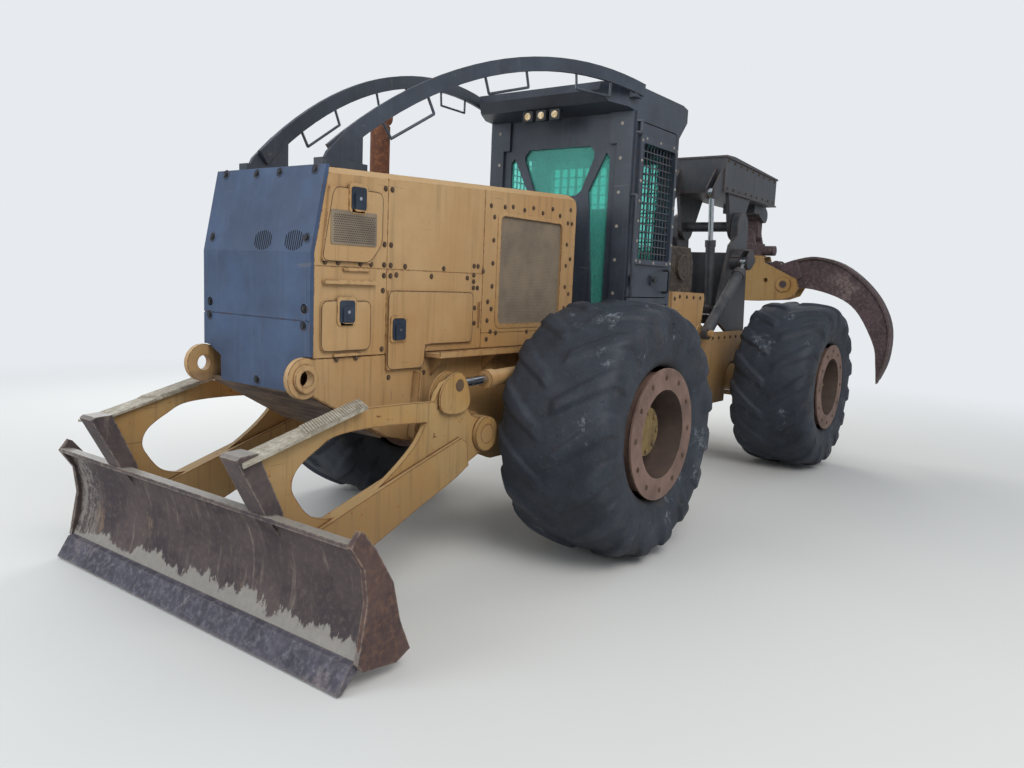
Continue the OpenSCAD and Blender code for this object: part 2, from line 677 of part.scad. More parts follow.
module blade() {
    place() color(rust) {
        plate(-blade_hw, 2 * blade_hw) moldboard_outline();
        both_sides() plate(blade_hw - 1, 29) polygon([[2500, 745], [2478, 735], [2400, 640], [2290, 460], [2240, 260],
            [2170, 100], [2260, 60], [2470, 90], [2500, 130], [2450, 400], [2470, 560], [2552, 680]]);
        both_sides() plate(600, 135) post_outline();
    }
}

// The cutting edge lies in front of the moldboard's foot, in three lengths bolted side by side.
module cutting_edge() {
    third = 2 * blade_hw / 3;
    place() color(steel) for (i = [-1:1]) plate(i * third - third / 2 + 1, third - 2) difference() {
        polygon([[2590, 12], [2572, 8], [2469, 98], [2469, 140], [2520, 128]]);
        offset(delta = seat) moldboard_outline();
    }
}

arm_mid = arm_y - arm_w / 2;
arm_top = [[1800, 1195], [1970, 1188], [2600, 1012]];     // the edge that the tread plate lies on

module arm_outline() {
    difference() {
        union() {
            offset(r = -40) offset(delta = 40) polygon([[2660, 985], [2600, 1005], [1970, 1180], [1790, 1185], [1410, 1168],
                [1310, 1150], [1225, 1230], [1110, 1150], [1030, 1020], [860, 990], [860, 770], [1040, 735], [1550, 560],
                [1890, 410], [2240, 300], [2330, 340], [2460, 620]]);
            translate(arm_pivot) circle(110);
            translate(lift_lug) circle(75);
        }
        offset(r = 70) offset(delta = -70) polygon([[2420, 860], [2330, 1010], [2220, 1095], [1500, 1050], [1180, 900],
            [1250, 850], [1720, 790], [2110, 620], [2330, 670]]);
    }
}

// All that lies in front of the moldboard's back and the posts' backs.
module blade_clear() {
    back = mold_arc(mold_r + mold_t / 2);
    offset(delta = seat) {
        moldboard_outline();
        post_outline();
    }
    polygon(concat([back[0] - [20, 60], back[0] - [200, 200]], [for (i = [1:8]) back[i]],
        [post_back[0] + [6, 0], post_back[1] + [6, 0], [2600, 1100], [3000, 1100], [3000, -80]]));
}

// A plate with teeth on its upper side, for a boot's grip.
module tread_outline() {
    tooth = 16;
    n = 12;
    line = [for (i = [0:n - 1], k = [0, 1]) let (p = arm_top[2] + (arm_top[1] - arm_top[2]) * (i + k * 0.6) / n)
        p + [0, k == 0 ? 26 : 26 + tooth]];
    polygon(concat(line, [arm_top[1] + [0, 26], arm_top[0] + [0, 22], arm_top[0] - [0, 14], arm_top[1] - [0, 14],
        arm_top[2] - [0, 14]]));
}

lug_slot = 34;  // half width of the slot that the rod's eye lies in
module blade_arms() {
    place() color(paint_yellow) difference() {
        union() {
            both_sides() difference() {
                union() {
                    plate(arm_y - 20, 40) arm_outline();
                    plate(arm_mid, arm_w) polygon([[1040, 735], [1550, 560], [1890, 410], [2240, 300], [2330, 340],
                        [2400, 520], [2330, 520], [2240, 470], [1900, 590], [1560, 700], [1060, 860]]);
                    plate(arm_mid - 8, arm_w + 40) tread_outline();
                    shaft(arm_pivot[0], arm_pivot[1], 110, arm_mid, arm_w);
                    shaft(lift_lug[0], lift_lug[1], 75, arm_mid, arm_w);
                }
                shaft(arm_pivot[0], arm_pivot[1], 60 + fit, arm_mid - 1, arm_w + 2);
                shaft(lift_lug[0], lift_lug[1], 92, arm_y - lug_slot, 2 * lug_slot);
            }
            both_sides() for (y = [arm_mid, arm_y + lug_slot]) plate(y, arm_w / 2 - lug_slot) link_outline(lift_lug, [1120, 790], 75, 68);
            block([2130, -arm_mid + seat, 345], [2230, arm_mid - seat, 470]);
        }
        plate(-1000, 2000) blade_clear();
    }
}

// Cylinders. Each is a barrel on its pin and a rod whose eye lies on the moving piece's pin.

// The barrel from its eye at p towards q, in the plane y.
module barrel(p, q, y, r, length, eye_r, pin_r, eye_w) {
    difference() {
        union() {
            bar(p, p + (q - p) / norm(q - p) * length, r, y);
            shaft(p[0], p[1], eye_r, y - eye_w / 2, eye_w);
            bar(p + (q - p) / norm(q - p) * (length - 60), p + (q - p) / norm(q - p) * (length + 12), r + 8, y);
        }
        shaft(p[0], p[1], pin_r + fit, y - r - 30, 2 * r + 60);
        bar(p + (q - p) / norm(q - p) * (eye_r + 40), q, r * 0.55 + fit, y);
    }
}

// The rod with its eye at q, reaching back into the barrel from p. The eye holds its own pin.
module rod(p, q, y, r, inside, eye_r, eye_w) {
    bar(p + (q - p) / norm(q - p) * inside, q, r * 0.55, y);
    shaft(q[0], q[1], eye_r, y - eye_w / 2, eye_w);
}

module blade_cylinder_barrels() {
    place() color(paint_yellow) both_sides() barrel(lift_anchor, lift_lug, arm_y, 52, 800, 70, 35, 60);
}

module blade_cylinder_rods() {
    place() color(chrome) both_sides() rod(lift_anchor, lift_lug, arm_y, 52, 300, 62, 44);
}

// Steering cylinders run beside the hinge: x and y of each pin on the left side
steer_front = [-1000, 230];
steer_rear = [hinge_x, 230];
steer_z = 1010;
steer_reach = steer_front[0] - steer_rear[0];

module steering_barrel(side) {
    place() color(paint_yellow) translate([steer_front[0], side * steer_front[1], steer_z]) difference() {
        union() {
            cylinder(r = 60, h = 60, center = true);
            rotate([0, -90, 0]) cylinder(r = 30, h = 90);
            rotate([0, -90, 0]) translate([0, 0, 76]) cylinder(r = 52, h = 564);
        }
        cylinder(r = 30 + fit, h = 130, center = true);
        rotate([0, -90, 0]) translate([0, 0, 110]) cylinder(r = 28 + fit, h = 600);
    }
}

module steering_rod(side) {
    place() color(chrome) translate([steer_rear[0], side * steer_rear[1], steer_z]) {
        cylinder(r = 52, h = 60, center = true);
        rotate([0, 90, 0]) cylinder(r = 28, h = steer_reach - 300);
    }
}

// Rear frame

arch_pivot = [arch_pivot_x, arch_pivot_z];
boom_pivot = [boom_pivot_x, boom_pivot_z];
arch_cyl_low = [-2900, 1400];
arch_cyl_high = [-3800, 2140];
boom_cyl_low = [-3590, 1640];
boom_cyl_high = [-3450, 2860];
rear_hw = 450;
arch_cyl_y = 540;

module rear_frame() {
    in = rear_hw - frame_t;
    place() color(paint_yellow) {
        both_sides() difference() {
            union() {
                plate(in, frame_t) difference() {
                    polygon([[-2240, 1810], [-2990, 1800], [-3010, 1740], [-2960, 1450], [-2960, frame_top],
                        [-4540, frame_top], [-4600, 1300], [-4600, 700], [-4480, 620], [-3200, 620], [-2700, 760], [-2300, 700]]);
                    axle_notch(rear_axle_x);
                }
                shaft(arch_cyl_low[0], arch_cyl_low[1], 80, rear_hw - 1, 30);
                shaft(arch_cyl_low[0], arch_cyl_low[1], 35, rear_hw - 1, 160);
                shaft(arch_pivot[0], arch_pivot[1], 110, rear_hw - 1, 20);
            }
            shaft(arch_pivot[0], arch_pivot[1], 50 + fit, in - 1, frame_t + 60);
        }
        plate(-in - 1, 2 * in + 2) {
            polygon([[-2340, 700], [-2300, 700], [-2250, 1800], [-2290, 1800]]);
            polygon([[-2960, 1770], [-2260, 1778], [-2260, 1800], [-2960, 1800]]);
            polygon([[-2960, frame_top - 25], [-2320, frame_top - 25], [-2320, frame_top], [-2960, frame_top]]);
            polygon([[-3440, frame_top - 25], [-2950, frame_top - 25], [-2950, frame_top], [-3440, frame_top]]);
            polygon([[-4598, 640], [-4560, 640], [-4560, 1150], [-4598, 1150]]);
            polygon([[-4470, 625], [-4240, 625], [-4240, 650], [-4470, 650]]);
            polygon([[-3560, 625], [-3250, 625], [-3250, 650], [-3560, 650]]);
        }
        for (z = [1290, 740], s = [-1, 1]) hinge_fork(z + s * 48, 34);
        both_sides() for (z = [steer_z - 60, steer_z + 35]) translate([0, 0, z]) linear_extrude(25) union() {
            translate(steer_rear) circle(65);
            polygon([[hinge_x, 165], [hinge_x, 295], [-2315, 415], [-2315, 200]]);
        }
        translate([hinge_x, 0, 690]) cylinder(r = 60, h = 100);
        translate([hinge_x, 0, 1240]) cylinder(r = 60, h = 100);
    }
}

module hinge_fork(z, t) {
    translate([hinge_x, 0, z - t / 2]) linear_extrude(t) union() {
        circle(140);
        polygon([[0, -140], [0, 140], [-360, 330], [-360, -330]]);
    }
}

module winch() {
    place() color(rust) {
        difference() {
            both_sides() plate(265, 45) polygon([[-2980, 1800 + seat], [-2330, 1800 + seat], [-2330, 1960], [-2440, 2250],
                [-2900, 2250], [-2980, 2100]]);
            shaft(-2680, 2050, 45 + fit, -340, 680);
        }
        block([-2980, -266, 1800 + seat], [-2330, 266, 1840]);
        block([-2400, -266, 1839], [-2370, 266, 1960]);
        both_sides() shaft(-2680, 2050, 125, 309, 46);
    }
}

module winch_drum() {
    place() color(steel) {
        shaft(-2680, 2050, 45, -300, 600);
        shaft(-2680, 2050, 105, -240, 480);
        both_sides() shaft(-2680, 2050, 165, 222, 22);
    }
}

// Arch and boom

leg_y = 400;
leg_t = 80;
module arch() {
    place() color(paint_black) {
        both_sides() {
            difference() {
                union() {
                    plate(leg_y - leg_t, leg_t) link_outline(arch_pivot, boom_pivot, 140, 155);
                    plate(leg_y - 36, 36) union() {
                        polygon([[-4100, 1240], [-3560, 1480], [-3500, 1560], [-3500, 1700], [-3720, 2330], [-4000, 2500]]);
                        translate(boom_cyl_low) circle(85);
                    }
                    plate(leg_y - 1, arch_cyl_y - 35 - leg_y + 1) arch_clevis();
                    plate(arch_cyl_y + 35, 25) arch_clevis();
                    plate(leg_y - 1, arch_cyl_y + 60 - leg_y + 1) arch_clevis_web();
                    shaft(arch_pivot[0], arch_pivot[1], 50, leg_y - 1, rear_hw - leg_y + 24);
                    shaft(boom_cyl_low[0], boom_cyl_low[1], 32, 200, leg_y - 200);
                }
                shaft(boom_pivot[0], boom_pivot[1], 55 + fit, leg_y - leg_t - 1, leg_t + 2);
            }
        }
        block([-4010, -leg_y + leg_t - 1, 1560], [-3975, leg_y - leg_t + 1, 2260]);
        shaft(-4110, 1500, 60, -leg_y + leg_t - 1, 2 * (leg_y - leg_t + 1));
    }
}

// The clevis that holds the rod's eye, and the web that joins its two cheeks behind the eye.
module arch_clevis() {
    translate(arch_cyl_high) circle(75);
    translate(arch_cyl_high) polygon([[-170, 30], [-60, -60], [60, 60], [-60, 155]]);
}

module arch_clevis_web() {
    translate(arch_cyl_high) polygon([[-170, 30], [-130, 10], [-30, 135], [-60, 155]]);
}

module arch_cylinder_barrels() {
    place() color(paint_black) both_sides() barrel(arch_cyl_low, arch_cyl_high, arch_cyl_y, 60, 1000, 65, 35, 60);
}

module arch_cylinder_rods() {
    place() color(chrome) both_sides() rod(arch_cyl_low, arch_cyl_high, arch_cyl_y, 60, 130, 65, 60);
}

module boom() {
    place() color(paint_black) {
        difference() {
            plate(-boom_hw, 2 * boom_hw) polygon([[boom_front, 2905], [boom_front, 3262], [boom_rear, 3200], [boom_rear, 2892]]);
            plate(-boom_hw + 25, 2 * boom_hw - 50) polygon([[boom_front - 30, 2935], [boom_front - 30, 3232],
                [boom_rear + 30, 3175], [boom_rear + 30, 2920]]);
        }
        plate(-boom_hw - 14, 2 * boom_hw + 28) polygon([[boom_front + 14, 3255], [boom_front + 14, 3275], [boom_front - 200, 3285],
            [boom_rear - 16, 3214], [boom_rear - 16, 3195]]);
        plate(-boom_hw - 14, 2 * boom_hw + 28) polygon([[boom_front + 6, 2890], [boom_front + 6, 2906], [boom_rear - 16, 2894],
            [boom_rear - 16, 2878]]);
        both_sides() plate(leg_y - leg_t - 50, 42) union() {
            polygon([[-3780, 2895], [-3890, 2500], [-4190, 2500], [-4420, 2890]]);
            translate(boom_pivot) circle(150);
        }
        shaft(boom_pivot[0], boom_pivot[1], 55, -leg_y + 1, 2 * (leg_y - 1));
        both_sides() for (y = [205, 285]) plate(y, 20) polygon([[boom_front - 1, 2880], [boom_front - 1, 3150],
            [boom_cyl_high[0] + 60, 2910], [boom_cyl_high[0] + 60, 2800], [boom_cyl_high[0] - 60, 2800]]);
        for (s = [1, -1]) plate(s > 0 ? 110 : -150, 40) union() {
            polygon([[-4900, 2892], [boom_rear, 2892], [boom_rear - 1, 3080], [grapple_x - 85, hanger_z + 20],
                [grapple_x + 20, hanger_z - 85]]);
            translate([grapple_x, hanger_z]) circle(90);
        }
        block([-5150, -200, 2780], [-4880, 200, 2895]);
        shaft(grapple_x, hanger_z, 40, -150, 300);
    }
}

module boom_cylinder_barrels() {
    place() color(paint_black) both_sides() barrel(boom_cyl_low, boom_cyl_high, 255, 50, 720, 60, 32, 50);
}

module boom_cylinder_rods() {
    place() color(chrome) both_sides() rod(boom_cyl_low, boom_cyl_high, 255, 50, 430, 55, 50);
}

// Grapple

yoke_z = hanger_z - 240;
module crosshead() {
    place() color(rust) difference() {
        union() {
            shaft(grapple_x, hanger_z, 75, -105, 210);
            block([grapple_x - 60, -100, yoke_z - 20], [grapple_x + 60, 100, hanger_z]);
            translate([grapple_x - 100, 0, yoke_z]) rotate([0, 90, 0]) cylinder(r = 75, h = 200);
        }
        shaft(grapple_x, hanger_z, 40 + fit, -200, 400);
        translate([grapple_x - 150, 0, yoke_z]) rotate([0, 90, 0]) cylinder(r = 35 + fit, h = 300);
    }
}

module swing_yoke() {
    place() color(rust) {
        for (x = [-145, 105]) plate_across(grapple_x + x, 40) union() {
            translate([0, yoke_z]) circle(75);
            polygon([[-75, yoke_z], [75, yoke_z], [110, yoke_z - 130], [-110, yoke_z - 130]]);
        }
        translate([grapple_x - 145, 0, yoke_z]) rotate([0, 90, 0]) cylinder(r = 35, h = 290);
        translate([grapple_x, 0, yoke_z - 260]) cylinder(r = 170, h = 150);
        translate([grapple_x, 0, yoke_z - 280]) cylinder(r = 60, h = 40);
        translate([grapple_x, 165, yoke_z - 195]) rotate([-90, 0, 0]) cylinder(r = 62, h = 150);
    }
}

module grapple_head() {
    bottom = 1720;
    top = yoke_z - 260 - seat;
    place() color(paint_yellow) {
        difference() {
            translate([grapple_x, 0, top - 25]) cylinder(r = 200, h = 25);
            translate([grapple_x, 0, top - 30]) cylinder(r = 60 + fit, h = 40);
        }
        for (x = [-150, 115]) plate_across(grapple_x + x, 35) difference() {
            polygon([[-210, top - 1], [210, top - 1], [240, 2205], [400, 2130], [650, 2010], [685, 1900], [630, 1800], [500, 1750],
                [120, bottom], [-120, bottom], [-500, 1750], [-630, 1800], [-685, 1900], [-650, 2010], [-400, 2130], [-240, 2205]]);
            for (y = [-tong_pivot_y, tong_pivot_y]) translate([y, tong_pivot_z]) circle(45 + fit);
            for (y = [-275, 275]) translate([y, 1985]) circle(26);
        }
        for (x = [-162, 149]) both_sides() difference() {
            translate([grapple_x + x, tong_pivot_y, tong_pivot_z]) rotate([0, 90, 0]) cylinder(r = 95, h = 13);
            translate([grapple_x + x - 1, tong_pivot_y, tong_pivot_z]) rotate([0, 90, 0]) cylinder(r = 45 + fit, h = 15);
        }
        block([grapple_x - 116, -130, bottom], [grapple_x + 116, 130, bottom + 30]);
    }
}

// The crank that the cylinder works, from the tong's pivot: [y, z]
crank = [-130, 225];
crank_slot = 62;
tong_web = 110;     // thickness of the tong's web, inside the flange on its back

// A smooth line through the points.
function curve(p, n) = [for (i = [0:len(p) - 2], k = [0:n - 1]) let (
        a = p[max(i - 1, 0)], b = p[i], c = p[i + 1], d = p[min(i + 2, len(p) - 1)], t = k / n)
    0.5 * (2 * b + (c - a) * t + (2 * a - 5 * b + 4 * c - d) * t * t + (3 * b - a - 3 * c + d) * t * t * t)];

// The tong's back and its inner side in its own plane, from its pivot, opened as parked: [y, z]
tong_back = [[-60, 250], [120, 312], [360, 348], [660, 270], [940, 72], [1150, -180], [1268, -480], [1262, -840], [1160, -1130]];
tong_inside = [[1160, -1130], [1135, -900], [1090, -670], [900, -330], [700, -160], [390, -58], [150, -40], [0, -95]];

module tong_outline() { polygon(concat(curve(tong_back, 4), curve(tong_inside, 4), [tong_inside[7], [-80, 60]])); }

module tong_hub() {
    circle(95);
    link_outline([0, 0], crank, 92, 66);
    polygon([crank, [120, 312], [200, 100], [0, 0]]);
}

module tong_flange() {
    back = curve(tong_back, 4);
    n = len(back) - 1;
    polygon(concat(back, [for (i = [n:-1:0]) let (
        d = back[min(i + 1, n)] - back[max(i - 1, 0)]) back[i] + 26 * [d[1], -d[0]] / norm(d)]));
}

module tong_slab(t) { translate([-t / 2, 0, 0]) rotate([90, 0, 90]) linear_extrude(t) children(); }

module tong(side) {
    place() color(rust) translate([grapple_x, 0, tong_pivot_z]) mirror([0, side < 0 ? 1 : 0, 0])
        translate([0, tong_pivot_y, 0]) {
            difference() {
                union() {
                    tong_slab(tong_web) tong_outline();
                    tong_slab(tong_t) tong_flange();
                    tong_slab(tong_t) tong_hub();
                }
                translate([-crank_slot, crank[0], crank[1]]) rotate([0, 90, 0]) cylinder(r = 150, h = 2 * crank_slot);
                translate([-crank_slot, crank[0] - 200, crank[1] - 70]) cube([2 * crank_slot, 200, 240]);
            }
            translate([-160, 0, 0]) rotate([0, 90, 0]) cylinder(r = 45, h = 320);
            if (side < 0) translate([-tong_t / 2, crank[0], crank[1]]) rotate([0, 90, 0]) cylinder(r = 28, h = tong_t);
        }
}

crank_y = tong_pivot_y + crank[0];
crank_z = tong_pivot_z + crank[1];
module tong_cylinder_barrel() {
    place() color(paint_black) translate([grapple_x, -crank_y, crank_z]) difference() {
        union() {
            rotate([-90, 0, 0]) cylinder(r = 52, h = 660);
            translate([-55, 0, 0]) rotate([0, 90, 0]) cylinder(r = 58, h = 110);
        }
        rotate([-90, 0, 0]) translate([0, 0, 70]) cylinder(r = 26 + fit, h = 600);
        translate([-60, 0, 0]) rotate([0, 90, 0]) cylinder(r = 28 + fit, h = 120);
    }
}

module tong_cylinder_rod() {
    place() color(chrome) translate([grapple_x, crank_y, crank_z]) {
        rotate([90, 0, 0]) cylinder(r = 26, h = 2 * crank_y - 80);
        translate([-50, 0, 0]) rotate([0, 90, 0]) cylinder(r = 52, h = 100);
    }
}

front_frame();
blade_mounts();
axle(0, 300, frame_in, 165);  // front_axle
engine();
hood();
front_guard();
hood_screens();
service_door(latch_upper) door_front_upper();  // door_front_upper_left
service_door(latch_lower) door_front_lower();  // door_front_lower_left
service_door(latch_side) door_side();  // door_side_left
mirror([0, 1, 0]) service_door(latch_upper) door_front_upper();  // door_front_upper_right
mirror([0, 1, 0]) service_door(latch_lower) door_front_lower();  // door_front_lower_right
mirror([0, 1, 0]) service_door(latch_side) door_side();  // door_side_right
exhaust();
limb_risers();
steps();
cab_shell();
cab_roof();
cab_glass();
cab_screens();
cab_door(1);  // cab_door_left
cab_door(-1);  // cab_door_right
cab_interior();
lamps();
blade();
cutting_edge();
blade_arms();
blade_cylinder_barrels();
blade_cylinder_rods();
steering_barrel(1);  // steering_barrel_left
steering_barrel(-1);  // steering_barrel_right
steering_rod(1);  // steering_rod_left
steering_rod(-1);  // steering_rod_right
rear_frame();
axle(rear_axle_x, 300, rear_hw - frame_t, 95);  // rear_axle
winch();
winch_drum();
arch();
arch_cylinder_barrels();
arch_cylinder_rods();
boom();
boom_cylinder_barrels();
boom_cylinder_rods();
crosshead();
swing_yoke();
grapple_head();
tong(1);  // tong_left
tong(-1);  // tong_right
tong_cylinder_barrel();
tong_cylinder_rod();
wheel_place(0, 1) tyre();  // tyre_front_left
wheel_place(0, -1) tyre();  // tyre_front_right
wheel_place(rear_axle_x, 1) tyre();  // tyre_rear_left
wheel_place(rear_axle_x, -1) tyre();  // tyre_rear_right
wheel_place(0, 1) rim();  // rim_front_left
wheel_place(0, -1) rim();  // rim_front_right
wheel_place(rear_axle_x, 1) rim();  // rim_rear_left
wheel_place(rear_axle_x, -1) rim();  // rim_rear_right
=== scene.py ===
# %% [markdown]
# # A forestry skidder, dressed
# The machine's steelwork comes from CAD, as a frame of named pieces that already stand where they belong. This
# file paints and weathers them, and adds what is too small for CAD: bolts, latches, pipes, wire rope, real tyres.
# Everything is in metres, +X is forward, +Y is the machine's left and +Z is up.

# %% Load the frame
import math
from fnmatch import filter as matching

import bmesh
import bpy
import numpy as np
from mathutils import Matrix, Vector
from mathutils.geometry import tessellate_polygon

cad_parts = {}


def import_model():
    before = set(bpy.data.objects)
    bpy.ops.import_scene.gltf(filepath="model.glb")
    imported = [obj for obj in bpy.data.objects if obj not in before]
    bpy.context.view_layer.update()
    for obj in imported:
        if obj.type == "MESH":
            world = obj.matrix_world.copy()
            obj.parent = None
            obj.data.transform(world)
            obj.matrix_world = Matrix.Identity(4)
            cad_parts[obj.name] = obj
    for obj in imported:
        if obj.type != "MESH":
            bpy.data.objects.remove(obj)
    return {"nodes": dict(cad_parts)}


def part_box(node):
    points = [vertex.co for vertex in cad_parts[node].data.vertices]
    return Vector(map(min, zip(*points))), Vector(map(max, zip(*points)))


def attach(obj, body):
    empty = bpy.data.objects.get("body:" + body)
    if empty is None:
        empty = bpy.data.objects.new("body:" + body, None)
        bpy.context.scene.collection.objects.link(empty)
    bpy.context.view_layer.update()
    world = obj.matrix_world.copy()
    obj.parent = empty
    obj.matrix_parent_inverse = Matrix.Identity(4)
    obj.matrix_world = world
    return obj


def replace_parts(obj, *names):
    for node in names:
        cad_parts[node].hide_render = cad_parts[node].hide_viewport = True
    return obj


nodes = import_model()["nodes"]
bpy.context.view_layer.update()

AXLE = 1.455           # x of the front axle, from which the added pieces count their x
WHEELBASE = 3.9
TYRE_R = 0.88
TYRE_Y = 1.144         # y of the middle of a tyre
HANDS = (("left", 1), ("right", -1))
ENDS = (("front", 0.0), ("rear", -WHEELBASE))

# %% [markdown]
# ## Shader maths as plain Python
# Weathering is a lot of small sums on masks: dust times facing up, minus scratches, and so on. Wiring each Math node
# by hand hides the idea. One small class wraps a socket and overloads + - * and **, so a mask is written as it
# is thought of, and the nodes come by themselves.

# %% A socket that does sums, and a finish that makes nodes
def rgb(code):
    """A colour written as in a paint chart, as the linear light that shaders use."""
    parts = [int(code[i:i + 2], 16) / 255 for i in (1, 3, 5)]
    return tuple(c / 12.92 if c <= 0.04045 else ((c + 0.055) / 1.055) ** 2.4 for c in parts)


def add_node(tree, kind, settings=None, sockets=None, out=0):
    """A node in any tree, its inputs set to a value or linked to a socket, or to each of a list of sockets."""
    made = tree.nodes.new(kind)
    for key, value in (settings or {}).items():
        setattr(made, key, value)
    for key, value in (sockets or {}).items():
        for one in value if isinstance(value, list) else [value]:
            if isinstance(one, bpy.types.NodeSocket):
                tree.links.new(one, made.inputs[key])
            elif one is not None:
                made.inputs[key].default_value = one
    return made.outputs[out] if made.outputs else None


class Mask:
    def __init__(self, finish, socket):
        self.finish, self.socket = finish, socket

    def sum(self, operation, a, b=None):
        return self.finish.node("ShaderNodeMath", {"operation": operation}, {0: a, 1: b})

    def __add__(self, other): return self.sum("ADD", self, other)
    def __radd__(self, other): return self.sum("ADD", other, self)
    def __sub__(self, other): return self.sum("SUBTRACT", self, other)
    def __rsub__(self, other): return self.sum("SUBTRACT", other, self)
    def __mul__(self, other): return self.sum("MULTIPLY", self, other)
    def __rmul__(self, other): return self.sum("MULTIPLY", other, self)
    def __pow__(self, other): return self.sum("POWER", self, other)
    def most(self, other): return self.sum("MAXIMUM", self, other)
    def least(self, other): return self.sum("MINIMUM", self, other)
    def size(self): return self.sum("ABSOLUTE", self)

    def between(self, low, high, to_low=0.0, to_high=1.0):
        """A soft step from low to high, or down from it where low is the larger."""
        return self.finish.node("ShaderNodeMapRange", {"interpolation_type": "SMOOTHSTEP"}, {
            "Value": self, "From Min": low, "From Max": high, "To Min": to_low, "To Max": to_high})

    def mix(self, low, high, a, b):
        return self.finish.blend(self.between(low, high), a, b)

    def under(self, share, over):
        """This colour, with a share of another one over it."""
        return self.finish.blend(share, self, over)


class Finish:
    """A material under construction: node() makes any node, the rest are the few that weathering needs."""

    def __init__(self, name, **fixed):
        self.material = bpy.data.materials.new(name)
        self.material.use_nodes = True
        self.tree = self.material.node_tree
        self.shader = self.tree.nodes["Principled BSDF"]
        for socket, value in fixed.items():
            self.shader.inputs[socket.replace("_", " ")].default_value = value
        self.place = self.node("ShaderNodeTexCoord", {}, {}, "Object")
        self.facing = self.node("ShaderNodeNewGeometry", {}, {}, "Normal")

    def node(self, kind, settings, sockets, out=0):
        plain = {key: value.socket if isinstance(value, Mask) else value for key, value in sockets.items()}
        return Mask(self, add_node(self.tree, kind, settings, plain, out))

    def at(self, axis):
        return self.node("ShaderNodeSeparateXYZ", {}, {0: self.place}, axis)

    def faces(self, axis):
        return self.node("ShaderNodeSeparateXYZ", {}, {0: self.facing}, axis)

    def stretched(self, stretch, shift=(0, 0, 0)):
        return self.node("ShaderNodeMapping", {}, {"Vector": self.place, "Scale": stretch, "Location": shift})

    def noise(self, scale, detail=4.0, rough=0.55, stretch=(1, 1, 1), shift=(0, 0, 0), warp=0.0):
        return self.node("ShaderNodeTexNoise", {}, {"Vector": self.stretched(stretch, shift), "Scale": scale,
                                                    "Detail": detail, "Roughness": rough, "Distortion": warp})

    def cells(self, scale, feature="F1"):
        return self.node("ShaderNodeTexVoronoi", {"feature": feature},
                         {"Vector": self.stretched((1, 1, 1)), "Scale": scale}, "Distance")

    def blend(self, share, a, b):
        def colour(c):
            return c if isinstance(c, Mask) else (*(rgb(c) if isinstance(c, str) else c), 1)
        return self.node("ShaderNodeMix", {"data_type": "RGBA", "blend_type": "MIX", "clamp_factor": True},
                         {0: share, 6: colour(a), 7: colour(b)}, 2)

    def edges(self, radius):
        """1 along sharp edges, where paint wears off first."""
        round_normal = self.node("ShaderNodeBevel", {"samples": 4}, {"Radius": radius})
        same = self.node("ShaderNodeVectorMath", {"operation": "DOT_PRODUCT"},
                         {0: round_normal, 1: self.facing}, "Value")
        return (1 - same).between(0.015, 0.2)

    def corners(self, distance):
        """1 deep in corners, from ambient occlusion: where dirt stays, and where shade falls."""
        return 1 - self.node("ShaderNodeAmbientOcclusion", {"samples": 4}, {"Distance": distance}, "AO")

    def done(self, colour, rough, relief=None, strength=0.0, distance=0.0, **others):
        """The finished material; relief is a height that shows as bump."""
        if relief is not None:
            others["Normal"] = self.node("ShaderNodeBump", {}, {"Height": relief, "Strength": strength,
                                                                "Distance": distance})
        for key, value in {"Base_Color": colour, "Roughness": rough, **others}.items():
            socket = self.shader.inputs[key.replace("_", " ")]
            if isinstance(value, Mask):
                self.tree.links.new(value.socket, socket)
            else:
                socket.default_value = value
        return self.material

# %% [markdown]
# ## Faded yellow enamel
# Machine enamel fades in the sun towards a chalky sand colour, and rain draws grime down its flat sides in faint
# streaks. Branches scratch it and chip its edges, and the chips rust. One recipe makes all of it, and its `wear`
# says how hard a life the piece has: low on the hood, high on the blade's arms.

